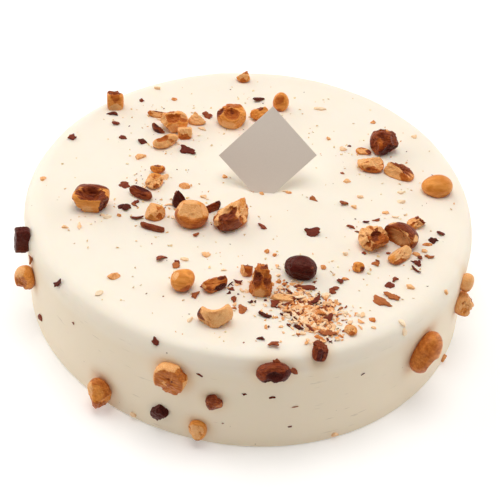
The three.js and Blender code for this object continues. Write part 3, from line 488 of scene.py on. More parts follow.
# %% List the middle group and what lies behind the card
MIDDLE_PIECES = [
    piece("chocolate_upright", (-31, -13.2), 3.6, -18, (6.4, 4.6, 10.4), "dark", 15,
          breaks=[(270, 10, 0.7), (60, 40, 0.6)], facets=5, point=(150, 70), ragged=0.12, crag=0.12,
          paint=[("skin", 200, 50, 24)]),
    piece("nut_cut_face", (-24.4, -23), 4.4, 0, (14.6, 12, 12.8), "roast tan toast", 16, boxy=2.1,
          breaks=[(272, 50, 0.68), (180, 30, 0.88), (0, 30, 0.88), (95, 72, 0.9)],
          hollows=[(274, 33, 0.97, 0.33)], lump=0.03, ragged=0.03, crag=0.02,
          # The toast and amber patches low on its front and sides are painted shade as well as roast
          # colour.
          paint=[("toast", 262, -16, 48), ("amber", 320, -16, 32), ("amber", 196, 4, 24),
                 ("tan", 272, 52, 38)]),
    piece("chocolate_curl", (-16.6, -14.5), 2.2, 30, (8, 4, 6), "dark skin dark", 17,
          breaks=[(120, 55, 0.4), (270, 10, 0.6)], hollows=[(150, 70, 1.0, 0.5)], facets=3,
          point=(10, 40), ragged=0.14, paint=[("husk", 170, 60, 30)]),
    piece("nut_glossy_chunk", (-7.6, -22), 5.6, 38, (19, 12.6, 14.2), "amber tan husk", 18, boxy=2.2,
          breaks=[(142, 38, 0.52), (322, 22, 0.6), (95, 40, 0.6), (180, 66, 0.62), (182, -2, 0.82)],
          hollows=[(222, 56, 1.02, 0.6), (196, 20, 1.3, 0.52)], point=(12, 40), ragged=0.16, crag=0.12,
          paint=[("flesh", 150, 42, 34), ("tan", 328, 30, 36), ("husk", 232, -6, 46),
                 ("flesh", 184, 0, 22), ("skin", 228, 46, 19), ("tan", 190, 62, 20),
                 ("roast", 15, 45, 22)]),
]
BEHIND_CARD_PIECES = [
    piece("nut_cup_back", (-13, 50.5), 4.4, -8, (14.2, 12, 12.4), "roast roast amber", 19, boxy=2.2,
          breaks=[(330, -10, 0.86), (160, 30, 0.9)],
          hollows=[(282, 50, 1.0, 0.58), (204, 34, 1.12, 0.42)], facets=2, point=(98, 52), ragged=0.1,
          paint=[("tan", FRONT, -16, 30), ("amber", 100, 62, 34), ("husk", 284, 60, 14),
                 ("skin", 204, 24, 22)]),
    piece("nut_behind_card", (0.6, 57), 2.8, 35, (10.4, 7, 7.8), "roast roast amber", 20,
          breaks=[(90, 60, 0.6), (0, 30, 0.75), (200, 20, 0.85)], facets=3, ragged=0.14,
          paint=[("skin", BACK, 65, 26), ("skin", 250, 70, 16), ("tan", 350, 40, 24)]),
    piece("nut_half_back", (10, 65.5), 3.8, 0, (7.8, 7, 10.8), "roast tan amber", 21,
          breaks=[(265, 5, 0.85)], lump=0.04, crag=0.03, weave=0.5,
          paint=[("roast", FRONT, 5, 80), ("toast", 250, 40, 34), ("amber", 250, -45, 24)]),
]
print(len(MIDDLE_PIECES), "pieces in the middle and", len(BEHIND_CARD_PIECES), "behind the card")

# %% List the pieces right of the card
RIGHT_PIECES = [
    piece("nut_dark_right", (59.4, 38), 5.6, 0, (13.2, 12.6, 13.4), "husk husk skin", 22, boxy=2.2,
          breaks=[(215, 5, 0.86), (300, -10, 0.84), (335, 30, 0.86), (255, 40, 0.88), (110, 74, 0.84)],
          hollows=[(100, 74, 1.3, 0.5)], facets=5, ragged=0.1, crag=0.12,
          paint=[("skin", 340, 10, 44), ("dark", 300, -30, 40), ("amber", 246, 22, 15),
                 ("skin", 180, -10, 26), ("skin", 250, 62, 16), ("tan", 60, 66, 13)]),
    piece("nut_chip_right", (50.2, 34.6), 1, -12, (7.4, 4.2, 3.4), "roast tan tan", 23,
          breaks=[(280, 65, 0.5)], facets=3, ragged=0.1,
          paint=[("skin", RIGHT, 20, 38), ("amber", 100, 50, 24)]),
    piece("nut_chunk_right", (53.4, 23.6), 2.7, -10, (12.6, 9.4, 8), "toast tan roast", 24, boxy=2.3,
          breaks=[(330, 46, 0.5), (190, 62, 0.6), (280, 6, 0.8), (120, 40, 0.6)],
          hollows=[(236, 60, 1.12, 0.42)], facets=2, ragged=0.1, crag=0.08,
          paint=[("tan", 196, 34, 44), ("flesh", 326, 46, 30), ("amber", 282, -16, 34),
                 ("skin", 262, -8, 14), ("amber", 240, 50, 10)]),
    piece("nut_wedge_right", (66.4, 20.6), 2.8, -22, (14.6, 8.4, 10), "roast tan skin", 25, boxy=2.6,
          breaks=[(266, 30, 0.62), (14, 56, 0.26), (130, 35, 0.6), (180, 12, 0.82)], ragged=0.14,
          paint=[("husk", 14, 56, 74), ("skin", 330, 50, 14), ("tan", 262, 14, 42),
                 ("amber", 300, -4, 16)]),
    piece("nut_smooth_right", (83.4, 9.9), 3.2, 0, (13, 10.8, 10.6), "roast roast tan", 26,
          breaks=[(290, -12, 0.9)], point=(185, 0), lump=0.03, crag=0.02, weave=0.35,
          paint=[("amber", 330, -34, 24)]),
    piece("nut_small_right", (72.8, -14.6), 2, 6, (9, 5.4, 6), "roast tan tan", 27, boxy=2.6,
          breaks=[(170, 50, 0.5), (270, 40, 0.65), (20, 30, 0.7)], facets=5, ragged=0.22, crag=0.18,
          paint=[("skin", RIGHT, 30, 44), ("husk", 80, 50, 30), ("flesh", 150, 50, 24)]),
    piece("nut_hollow_right", (53.6, -29), 4.2, 0, (12.8, 12, 12), "tan tan husk", 28, boxy=2.2,
          breaks=[(85, 60, 0.8), (200, 60, 0.78), (225, 20, 0.86)],
          hollows=[(286, 50, 0.94, 0.5), (262, 80, 1.14, 0.42), (330, 8, 1.2, 0.4)], facets=3,
          ragged=0.2, crag=0.14,
          paint=[("flesh", 210, 30, 28), ("amber", 330, 20, 28), ("amber", 286, 2, 20),
                 ("skin", 290, 56, 16)]),
    piece("nut_shell_right", (65.4, -26.4), 4, -28, (15, 12, 10.6), "husk tan flesh", 29, boxy=2.2,
          breaks=[(262, 14, 0.5)], hollows=[(254, 2, 0.72, 0.88)], ragged=0.2,
          paint=[("skin", 70, 66, 50), ("skin", 20, 40, 40), ("husk", 40, 66, 14),
                 ("flesh", 332, 24, 16), ("flesh", 192, 40, 11)]),
    piece("nut_wedge_light", (64.6, -36.6), 2.4, 42, (11.4, 6.6, 6.4), "tan flesh tan", 30, boxy=2.6,
          breaks=[(120, 50, 0.5), (265, 45, 0.5)], facets=2, ragged=0.08,
          paint=[("roast", LEFT, 10, 34), ("amber", 240, -20, 30)]),
]
print(len(RIGHT_PIECES), "pieces right of the card")

# %% List the pieces along the front
FRONT_PIECES = [
    piece("nut_whole_front", (-24, -63.2), 3.9, 0, (9.6, 9, 9.4), "roast tan tan", 31,
          breaks=[(200, 50, 0.9)], point=(40, 30), lump=0.06, crag=0.04, weave=0.6,
          paint=[("amber", 300, -24, 34)]),
    piece("nut_skin_front", (-10.8, -62.6), 2.7, 22, (10.6, 6.8, 7), "amber toast tan", 32, boxy=2.1,
          breaks=[(100, 50, 0.7), (262, 62, 0.66), (290, -6, 0.66)], facets=2, point=(14, 52),
          ragged=0.14, crag=0.1,
          paint=[("tan", 190, 10, 22), ("dark", 296, -10, 38), ("skin", 12, 56, 22),
                 ("husk", 230, 12, 14)]),
    piece("nut_red_front", (1.2, -52.6), 2.2, 0, (5.4, 4.2, 6.2), "amber tan tan", 33, boxy=3,
          breaks=[(200, 10, 0.66), (80, 60, 0.7)], ragged=0.12,
          paint=[("skin", 60, 60, 46), ("tan", 250, -10, 34)]),
    piece("nut_tall_front", (7.8, -60.6), 5.2, 4, (10.6, 11, 15.6), "toast toast husk", 34, boxy=3,
          breaks=[(12, 15, 0.7), (170, 17, 0.68), (268, 42, 0.74), (80, 76, 0.8), (330, 10, 0.88)],
          hollows=[(246, 46, 1.24, 0.56)], facets=2, ragged=0.18, crag=0.12,
          paint=[("husk", 300, 22, 20), ("husk", 240, 34, 28), ("skin", 244, 46, 18),
                 ("tan", 264, -24, 24), ("skin", 60, 74, 20), ("flesh", 186, 12, 20)]),
    piece("nut_dark_front", (23.4, -50.6), 3.8, -6, (13.6, 10, 9.8), "dark", 35, boxy=2.1,
          breaks=[(350, 10, 0.92), (214, 0, 0.88), (276, -16, 0.84)], facets=3, lump=0.06, ragged=0.09,
          crag=0.07, paint=[("skin", 334, 36, 12)]),
    piece("nut_flake_front", (17, -65.6), 0.8, -4, (8.8, 4, 2.8), "tan flesh tan", 36, boxy=3,
          breaks=[(90, 80, 0.5)], facets=2, ragged=0.08, paint=[("skin", RIGHT, 10, 30)]),
    piece("nut_crescent_front", (-9.4, -80.8), 3.2, 6, (13.4, 8.6, 12.4), "tan", 37, boxy=2.1,
          breaks=[(218, -14, 0.74), (322, -30, 0.84), (262, 16, 0.84)],
          hollows=[(91, 29, 1.45, 0.9), (95, 58, 1.27, 0.9), (137, 85, 1.45, 0.9)], point=(4, 50),
          ragged=0.06, crag=0.05,
          paint=[("husk", 176, 22, 20), ("dark", 172, 34, 9), ("flesh", 300, 30, 26),
                 ("amber", 290, -40, 30)]),
    piece("nut_small_front", (47.2, -45), 1.5, 0, (5.4, 4.6, 4.4), "roast roast tan", 38,
          breaks=[(290, 50, 0.7)], facets=4, paint=[("skin", 320, 10, 30)]),
    piece("nut_chip_front", (44, -81), 1.2, -20, (5.4, 4.6, 4.4), "roast tan tan", 39,
          breaks=[(270, 60, 0.6)], facets=4, ragged=0.1, paint=[("amber", 300, 10, 28)]),
]
TOP_PIECES = BACK_LEFT_PIECES + MIDDLE_PIECES + BEHIND_CARD_PIECES + RIGHT_PIECES + FRONT_PIECES
print(len(FRONT_PIECES), "pieces along the front, and", len(TOP_PIECES), "on the top in all")

# %% [markdown]
# On the side the same frame lies against the wall: Y runs up the cake and Z out of it. The places
# are a bearing in degrees, with -90 at the front, and a height.

# %% List the pieces on the side that shows
FRONT_SIDE_PIECES = [
    piece("chocolate_side_left", (-160, 45), 2.4, -8, (6.2, 12.4, 7), "dark", 51, boxy=4.5,
          breaks=[(0, 90, 0.8), (40, 0, 1.0)], ragged=0.1, crag=0.05),
    piece("nut_side_left", (-156, 29.5), 3.6, -16, (9.4, 14, 9), "roast toast amber", 52, boxy=2.2,
          breaks=[(20, 40, 0.75), (300, 20, 0.82)], hollows=[(330, 40, 1.2, 0.5)], point=(260, 0),
          lump=0.05, ragged=0.1, paint=[("amber", 270, 10, 44), ("tan", 100, 30, 34)]),
    piece("nut_side_low_left", (-123.2, 8.6), 3.4, 8, (11, 15, 9.8), "toast roast tan", 53, boxy=2.1,
          breaks=[(218, 12, 0.56), (324, 8, 0.62), (55, 45, 0.8), (150, 60, 0.74)], point=(275, 0),
          ragged=0.1, paint=[("amber", 280, 34, 54), ("tan", 130, 40, 32)]),
    piece("nut_side_front", (-104, 36), 2, 0, (13.6, 14.8, 9.4), "tan toast toast", 54, boxy=2.4,
          breaks=[(90, 78, 0.56), (275, 74, 0.6), (235, 5, 0.86), (330, 5, 0.9), (40, 5, 0.88)],
          hollows=[(96, 62, 1.12, 0.56), (275, 82, 1.14, 0.5)], ragged=0.12, crag=0.08,
          paint=[("skin", 50, 62, 7), ("tan", 200, 70, 14), ("amber", 60, 88, 16)]),
    piece("chocolate_side_low", (-107.2, 12), 0.9, -20, (7.2, 8.8, 5), "dark", 55, boxy=2.6,
          breaks=[(0, 80, 0.7), (150, 10, 0.75)], facets=6, ragged=0.14, crag=0.12),
    piece("chocolate_side_front", (-94.1, 27), 1.3, 12, (6.8, 7.4, 6), "skin husk skin", 56, boxy=2.4,
          breaks=[(300, 55, 0.6), (110, 50, 0.6)], facets=4, ragged=0.1, crag=0.08,
          paint=[("amber", 350, 30, 32)]),
    piece("nut_side_foot", (-97.7, 8.8), 1.5, 0, (7.6, 9, 7.4), "roast tan tan", 57, boxy=2.5,
          breaks=[(70, 60, 0.7), (180, 40, 0.75)], facets=3, ragged=0.08,
          paint=[("skin", 270, 20, 30), ("flesh", 120, 50, 30)]),
    piece("chocolate_half_front", (-81.4, 46.2), 0.9, 0, (12.6, 8.2, 8.4), "skin skin dark", 58,
          boxy=2.3, breaks=[(75, 60, 0.92)], hollows=[(94, 84, 1.0, 0.52), (240, 62, 1.16, 0.42)],
          facets=1, ragged=0.2,
          # The nearly black hollow and front are painted shade as well as the chip's own dark colour.
          paint=[("husk", 90, 30, 14), ("dark", 270, 40, 44), ("dark", 0, 40, 26)]),
    piece("chocolate_rim_front", (-70.6, 51), 1.4, -12, (6.2, 8.8, 5.8), "skin skin dark", 59,
          boxy=2.6, breaks=[(200, 40, 0.7), (40, 50, 0.66), (310, 40, 0.74)],
          hollows=[(200, 50, 1.3, 0.5)], facets=5, ragged=0.22, crag=0.2,
          paint=[("dark", 272, 44, 42)]),
    piece("nut_side_right", (-41.8, 31), 2.8, -30, (13.6, 19.6, 10.4), "toast", 60, boxy=2.1,
          breaks=[(190, 20, 0.9)],
          hollows=[(325, 28, 1.59, 0.8), (315, 49, 1.47, 0.8), (291, 68, 1.59, 0.8)], lump=0.06,
          ragged=0.06, crag=0.03, weave=0.5, paint=[("tan", 20, 60, 18), ("amber", 270, 20, 24)]),
    piece("nut_edge_upper", (-21.5, 42), 1.8, 0, (6.2, 8.8, 6.2), "tan", 61, boxy=2.3, lump=0.05,
          paint=[("roast", 270, 20, 40)]),
    piece("nut_edge_lower", (-22.2, 31), 2.8, 15, (10, 11, 9), "tan", 62, boxy=2.6,
          breaks=[(40, 40, 0.7), (150, 45, 0.7), (280, 30, 0.8)], facets=4, ragged=0.18, crag=0.16,
          paint=[("husk", 20, 50, 16), ("amber", 350, 30, 20), ("tan", 270, 20, 30),
                 ("roast", 180, 20, 24)]),
]
print(len(FRONT_SIDE_PIECES), "pieces on the side that shows")

# %% List the pieces round the back
BACK_SIDE_PIECES = [
    piece("nut_side_back", (64, 30), 2.4, 24, (11.6, 14, 9.4), "toast tan toast", 63, boxy=2.2,
          breaks=[(80, 70, 0.62), (200, 10, 0.84)], hollows=[(280, 70, 1.14, 0.5)], facets=1,
          ragged=0.1, paint=[("amber", 290, 40, 30), ("skin", 60, 50, 14)]),
    piece("nut_side_back_low", (121, 11), 2.6, -30, (10, 12.6, 8.4), "roast tan tan", 64, boxy=2.1,
          breaks=[(40, 60, 0.64), (250, 20, 0.8)], lump=0.05, ragged=0.08,
          paint=[("amber", 270, 30, 34)]),
    piece("chocolate_side_back", (97, 36), 1, 30, (7.4, 8, 5.4), "dark", 65, boxy=2.5,
          breaks=[(0, 70, 0.7), (150, 30, 0.76)], facets=5, ragged=0.14, crag=0.12),
    piece("nut_rim_back", (134, 33), 1.8, -10, (7.6, 8, 6.8), "roast tan tan", 66, boxy=2.4,
          breaks=[(60, 60, 0.7), (200, 30, 0.76)], facets=2, ragged=0.1, paint=[("husk", 90, 50, 26)]),
    piece("chocolate_back_low", (24, 17), 0.9, -40, (6.6, 7.8, 5), "skin husk dark", 67, boxy=2.6,
          breaks=[(90, 60, 0.66), (210, 30, 0.74)], facets=5, ragged=0.14, crag=0.1),
]
SIDE_PIECES = FRONT_SIDE_PIECES + BACK_SIDE_PIECES
print(len(BACK_SIDE_PIECES), "pieces round the back, and", len(SIDE_PIECES), "on the side in all")

# %% [markdown]
# ## From a row to a rough nut
#
# One rule makes every piece. Rays leave a point inside it, and each ends at whichever comes first:
# the rounded outside, a flat break or the ball that scoops a hollow. Keeping the nearest with a
# small blend leaves edges that are crisp but not knife-sharp. The same comparison says what shows
# at that corner, broken flesh, skin or hollow, so form and colour always agree.

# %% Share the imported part's random waves
WAVES = 4
FLATS_SEED = 300
STREAM_START = 2654435761
STREAM_STEP = 0x6D2B79F5


def draws(seed):
    """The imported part's own stream of numbers from 0 to 1."""
    state = seed * STREAM_START
    while True:
        state = (state + STREAM_STEP) & WORD
        stirred = ((state ^ (state >> 15)) * (1 | state)) & WORD
        again = ((stirred ^ (stirred >> 7)) * (61 | stirred)) & WORD
        stirred = ((stirred + again) & WORD) ^ stirred
        yield (stirred ^ (stirred >> 14)) / (WORD + 1)


def aim(turn, lift):
    """The direction of a turn and a lift in degrees."""
    around, up = math.radians(turn), math.radians(lift)
    return np.array(
        (math.cos(around) * math.cos(up), math.sin(around) * math.cos(up), math.sin(up))
    )


def waves(ways, seed):
    """Soft unevenness from -1 to 1: a few long waves in seeded directions."""
    draw = draws(seed)
    total = np.zeros(len(ways))
    for _ in range(WAVES):
        along = aim(360 * next(draw), 180 * next(draw) - 90) * (2.2 + 2.2 * next(draw))
        total += np.cos(ways @ along + 2 * math.pi * next(draw))
    return total / WAVES


def breaks_of(row):
    """The breaks of a row and its small flats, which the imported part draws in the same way."""
    draw = draws(row["seed"] + FLATS_SEED)
    flats = [
        (360 * next(draw), 130 * next(draw) - 40, 0.68 + 0.24 * next(draw))
        for _ in range(row["facets"])
    ]
    return row["breaks"] + flats


CLEAR_OF_HOLLOW = 0.6
LONGEST_SHIFT = 0.45


def core_of(row):
    """A point inside that sees the whole surface: it moves away from each deep hollow."""
    core = np.zeros(3)
    for turn, lift, out, radius in row["hollows"]:
        core -= aim(turn, lift) * min(max(CLEAR_OF_HOLLOW - (out - radius), 0), LONGEST_SHIFT)
    return core


print("waves of seed 1, straight up:", waves(np.array(((0, 0, 1.0),)), 1).round(3))

# %% Find where each ray ends
EDGE_BLEND = 0.035
TIP = 0.16
FAR = 9.0
LEAST_ALONG = 0.02


def nearer(first, second):
    """The smaller of two distances, blended a little where they meet."""
    both = np.minimum(first, second)
    close = np.clip(EDGE_BLEND - np.abs(first - second), 0, None) / EDGE_BLEND
    return both - close * close * EDGE_BLEND / 4


def rays_to_outside(row, core, ways):
    """How far each ray runs to the rounded outside, with its waves, shoulders and tip."""
    along = ways @ core
    reach = -along + np.sqrt(along * along + 1 - core @ core)
    reach *= 1 + row["lump"] * waves(ways, row["seed"])
    reach *= np.sum(np.abs(ways) ** row["boxy"], axis=1) ** (-1 / row["boxy"])
    if row["point"]:
        reach *= 1 + TIP * np.clip(ways @ aim(*row["point"]), 0, None) ** 5
    return reach


def rays_to_breaks(row, core, ways):
    """How far each ray runs to the nearest flat break, which is a little uneven."""
    reach = np.full(len(ways), FAR)
    for number, (turn, lift, keep) in enumerate(breaks_of(row)):
        facing = aim(turn, lift)
        along = ways @ facing
        uneven = row["ragged"] * rough_noise(ways * 3.4 + 5, row["seed"] * 7 + number, 4)
        hit = (keep + uneven - facing @ core) / np.clip(along, LEAST_ALONG, None)
        reach = nearer(reach, np.where(along > LEAST_ALONG, hit, FAR))
    return reach


def rays_to_hollows(row, core, ways):
    """How far each ray runs to the nearest scooped hollow, whose ball is a little wavy."""
    reach = np.full(len(ways), FAR)
    uneven = 1 + 0.7 * row["ragged"] * rough_noise(ways * 3.2 + 9, row["seed"] + 70)
    for turn, lift, out, radius in row["hollows"]:
        offset = aim(turn, lift) * out - core
        along = ways @ offset
        wavy = radius * uneven
        rest = along * along - offset @ offset + wavy * wavy
        hit = along - np.sqrt(np.clip(rest, 0, None))
        reach = np.minimum(reach, np.where((along > 0) & (rest > 0), hit, FAR))
    return reach

# %% [markdown]
# A nut is dark where its skin is, tan where the skin has rubbed off and pale inside. It could be
# painted by hand, but that would have to be done again for every change of form. So each corner
# gets its amounts of flesh, skin, amber and dark from the surface that its ray met, and the paint
# rows lay their patches over that. Amber is also painted as shade where a piece faces the glaze
# and in the deep steps of its breaks.

# %% Paint a piece
MARKS = ("flesh", "skin", "amber", "dark")
FLESH, SKIN, AMBER, DARK = range(len(MARKS))
PATCHES = 34  # how many flat patches a broken face is made of
PAINTED_UNDER_SHADE = 0.7  # how much amber is painted as shade on an outside that faces the glaze
BORDER_WAVE = 0.03  # how far the border of a break wanders, in half sizes
BORDER_SOFT = 0.04
PAINT_WAVE = 13  # how far the border of a painted patch wanders, in degrees
PAINT_SOFT = 8
PAINTED_STEP_SHADE = 7  # how much amber is painted as shade in the deep steps of a break, for its crag
DEEP_STEPS = (0.8, 1.3)
KINDS = {
    "roast": (0, 0, 0, 0),
    "tan": (0.5, 0, 0, 0),
    "flesh": (1, 0, 0, 0),
    "toast": (0, 0, 0.5, 0),
    "amber": (0, 0, 1, 0),
    "skin": (0, 1, 0, 0),
    "husk": (0, 0.56, 1, 0),
    "dark": (0, 1, 0, 1),
}


def laid_over(marks, share, kind):
    """One kind of surface laid over what shows already, by a share at each corner."""
    return marks + share[:, None] * (np.array(KINDS[kind], float) - marks)


def fracture_steps(ways, seed):
    """Patches of a broken face, each at its own depth and tilt, from about 0 to 1."""
    rng = np.random.default_rng(seed)
    middles = rng.normal(size=(PATCHES, 3))
    middles /= np.linalg.norm(middles, axis=1)[:, None]
    tilts = rng.normal(size=(PATCHES, 3))
    shifts = np.stack([soft_noise(ways * 5 + shift, seed) for shift in (0, 17, 41)], axis=1)
    bent = ways + 0.16 * shifts
    patch = np.argmax(bent @ middles.T, axis=1)
    tilted = np.sum((ways - middles[patch]) * tilts[patch], axis=1)
    return rng.uniform(0, 1, PATCHES)[patch] + 0.9 * tilted


def painted(row, ways, outside, breaks, hollows, down, steps):
    """How much of flesh, skin, amber and dark shows at each corner, with amber also painted as shade.
    """
    kind_out, kind_broken, kind_scooped = row["kinds"]
    marks = np.tile(np.array(KINDS[kind_out], float), (len(ways), 1))
    # Painted shade: amber laid on the outside where it faces the glaze.
    facing_down = ways @ down + 0.25 * rough_noise(ways * 3, row["seed"] + 5)
    under = PAINTED_UNDER_SHADE * blend_in(facing_down, 0.1, 0.9)
    marks = laid_over(marks, under * (1 - marks[:, DARK]), "amber")
    ragged = BORDER_WAVE * rough_noise(ways * 7, row["seed"] + 31)
    broken = blend_in(outside - breaks + ragged, 0, BORDER_SOFT)
    marks = laid_over(marks, broken, kind_broken)
    scooped = blend_in(np.minimum(outside, breaks) - hollows + ragged, 0, BORDER_SOFT)
    marks = laid_over(marks, scooped, kind_scooped)
    for number, (kind, turn, lift, spread) in enumerate(row["paint"]):
        apart = np.degrees(np.arccos(np.clip(ways @ aim(turn, lift), -1, 1)))
        uneven = PAINT_WAVE * rough_noise(ways * 3.6 + number, row["seed"] + 57, 4)
        inside = blend_in(spread + uneven - apart, -PAINT_SOFT, PAINT_SOFT)
        marks = laid_over(marks, inside, kind)
    # Painted shade: amber laid in the deep steps of a broken face.
    step_shade = min(1, PAINTED_STEP_SHADE * row["crag"]) * broken * blend_in(steps, *DEEP_STEPS)
    return laid_over(marks, step_shade * (1 - marks[:, SKIN]), "amber")


print(len(KINDS), "kinds of surface:", ", ".join(KINDS))

# %% [markdown]
# Broken flesh snaps in small steps and is grainy, and skin is wrinkled along the kernel. A bump in
# the finish only looks rough from the front, so the corners themselves move by these amounts.

# %% Roughen a piece
WRINKLE_MM = 0.14
GRAIN_MM = 0.14
PORE_MM = 0.05
LEAST_REACH = 0.1


def piece_form(row, detail, down):
    """The corners of a piece in its own frame in millimetres, and what shows at each."""
    ways, triangles = ball(detail)
    core = core_of(row)
    outside = rays_to_outside(row, core, ways)
    breaks = rays_to_breaks(row, core, ways)
    hollows = rays_to_hollows(row, core, ways)
    steps = fracture_steps(ways, row["seed"] + 200)
    marks = painted(row, ways, outside, breaks, hollows, down, steps)
    torn = 0.25 + 0.75 * blend_in(outside - breaks, 0, 0.05)
    reach = nearer(nearer(outside, breaks), hollows)
    reach = reach - row["crag"] * torn * np.clip(steps, 0, 1.3)
    half = np.array(row["size"]) / 2
    own = (core + ways * reach[:, None]) * half
    wrinkles = 1 - 2 * np.abs(rough_noise(own * (0.35, 0.9, 0.9), row["seed"] + 11))
    grain = rough_noise(own * 1.6, row["seed"] + 13)
    relief = WRINKLE_MM * marks[:, SKIN] * wrinkles + GRAIN_MM * marks[:, FLESH] * grain
    relief += PORE_MM * grain
    reach = np.maximum(LEAST_REACH, reach + relief / half.min())
    return (core + ways * reach[:, None]) * half, triangles, marks, own


trial, *_ = piece_form(TOP_PIECES[0], 4, np.array((0, 0, -1)))
print(TOP_PIECES[0]["name"], "measures", np.ptp(trial, axis=0).round(1), "mm")

# %% [markdown]
# ## Finishes of the nuts
#
# A roasted kernel is orange-tan and satiny, with fine streaks along it. Its broken flesh is cream
# and granular, and its skin is a thin dark red-brown husk with a dull shine. The amounts of each
# come with the mesh, so one tree of nodes can finish every nut: it lays the colours over each other
# where the marks say, with edges broken up by noise.

# %% Choose the colours of the nuts
ROAST_DEEP = (0.66, 0.215, 0.030)
ROAST_LIGHT = (0.92, 0.40, 0.095)
FLESH_TAN = (0.86, 0.38, 0.125)
FLESH_CREAM = (0.96, 0.60, 0.28)
AMBER_DEEP = (0.36, 0.070, 0.009)
AMBER_LIGHT = (0.64, 0.19, 0.032)
SKIN_DEEP = (0.11, 0.012, 0.004)
SKIN_LIGHT = (0.36, 0.075, 0.020)
CHOCOLATE_DEEP = (0.040, 0.0025, 0.002)
CHOCOLATE_LIGHT = (0.15, 0.020, 0.014)
WARM_SHINE = (1.0, 0.55, 0.4, 1)
print("the skin has", round(sum(SKIN_DEEP) / sum(FLESH_CREAM), 3), "of the light of the flesh")

# %% Mix the nut finishes
def streaks(finish, own, scale):
    """Noise drawn out along the piece's own length."""
    inputs = {"Vector": own, "Scale": (0.25, 1, 1)}
    stretched = add_node(finish, "Mapping", inputs).outputs["Vector"]
    return cloudy(finish, stretched, scale, 4, 0.6)


def ragged_share(finish, mark, speckle):
    """A mark from the mesh, its edge broken up by noise."""
    pushed = sums(finish, "MULTIPLY", speckle, 0.5)
    share = sums(finish, "ADD", read_mark(finish, mark), pushed)
    return graded(finish, share, 0.38, 0.88)


def nut_finish(name):
    """Roast all over, with flesh, amber, skin and dark laid over it where the mesh says."""
    finish, shader = new_finish(name)
    own = read_mark(finish, "own", "Vector")
    fine = cloudy(finish, own, 2.2, 5, 0.65)
    broad = cloudy(finish, own, 0.45, 3, 0.5)
    lines = streaks(finish, own, 1.3)
    roast = mixed(finish, graded(finish, lines, 0.35, 0.68), ROAST_DEEP, ROAST_LIGHT)
    roast = mixed(finish, graded(finish, broad, 0.45, 0.75, 0, 0.5), roast, ROAST_DEEP)
    flesh = mixed(finish, graded(finish, fine, 0.32, 0.66), FLESH_TAN, FLESH_CREAM)
    amber = mixed(finish, graded(finish, lines, 0.35, 0.7), AMBER_DEEP, AMBER_LIGHT)
    skin = mixed(finish, graded(finish, lines, 0.38, 0.72), SKIN_DEEP, SKIN_LIGHT)
    dark = mixed(finish, graded(finish, fine, 0.4, 0.75), CHOCOLATE_DEEP, CHOCOLATE_LIGHT)
    colour = mixed(finish, ragged_share(finish, "flesh", fine), roast, flesh)
    colour = mixed(finish, ragged_share(finish, "amber", broad), colour, amber)
    colour = mixed(finish, ragged_share(finish, "skin", fine), colour, skin)
    colour = mixed(finish, ragged_share(finish, "dark", broad), colour, dark)
    wire(finish, shader.inputs["Base Color"], colour)
    wire(finish, shader.inputs["Roughness"], graded(finish, fine, 0.3, 0.7, 0.28, 0.46))
    set_values(shader, {
        "Specular IOR Level": 0.3,
        "Specular Tint": WARM_SHINE,
        "Subsurface Weight": 0.12,
        "Subsurface Radius": (1.0, 0.5, 0.25),
        "Subsurface Scale": 0.0012,
    })
    raised(finish, shader, sums(finish, "ADD", fine, lines), 0.00012, 0.8)
    return finish


NUT_SLOTS = ("roasted_nut", "pale_nut", "nut_skin", "dark_chocolate")
NUT_FINISHES = {slot: nut_finish(slot) for slot in NUT_SLOTS}
print("finishes:", ", ".join(NUT_FINISHES))

# %% [markdown]
# Each piece stands on its seat as its solid does. Its object takes the solid's place, and the slot
# is the finish that its outside has most of. The larger pieces get a finer mesh.

# %% Stand every piece in its place
SLOT_OF_KIND = {"roast": "roasted_nut", "toast": "roasted_nut", "amber": "roasted_nut",
                "tan": "pale_nut", "flesh": "pale_nut", "skin": "nut_skin",
                "husk": "nut_skin", "dark": "dark_chocolate"}
LARGE_PIECE = 12.5
PATTERN_SHIFT = 40


def stand_piece(row, seat):
    """Makes one piece in the place of its solid, and says how many triangles it has."""
    detail = 6 if max(row["size"]) > LARGE_PIECE else 5
    place, axes = standing(seat, row["rise"], row["turn"])
    corners, triangles, marks, own = piece_form(row, detail, axes @ (0, 0, -1))
    names = dict(zip(MARKS, marks.T))
    names["own"] = own * row["weave"] + PATTERN_SHIFT * row["seed"]
    slot = SLOT_OF_KIND[row["kinds"][0]]
    corners = place + corners @ axes
    made = make_object(row["name"] + ".fine", corners, triangles, NUT_FINISHES[slot], names)
    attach(made, "root")
    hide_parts(row["name"])
    return len(triangles)


count = sum(stand_piece(row, on_top(*row["at"])) for row in TOP_PIECES)
count += sum(stand_piece(row, on_side(*row["at"])) for row in SIDE_PIECES)
print("nuts and chocolate:", count, "triangles")

# %% [markdown]
# ## The glazed cake
#
# The glaze is poured over the frozen mousse, so it is one skin with no seam: nearly flat on the
# top, round at the edge and straight down the side. A lathe could spin the outline, but the cake
# is slightly out of round and the glaze has faint sags, so rings of corners are laid out in an
# array and moved by the same function as the imported part's. Where the glaze gathers before it
# runs over the edge it stands out as a thin wavy brow, and short level creases on the side are
# painted by the finish as thin lines of shade.

# %% Draw the outline of the cake
SECTORS = 384
TOP_RINGS = 46
RIM_STEPS = 16
WALL_RINGS = 44


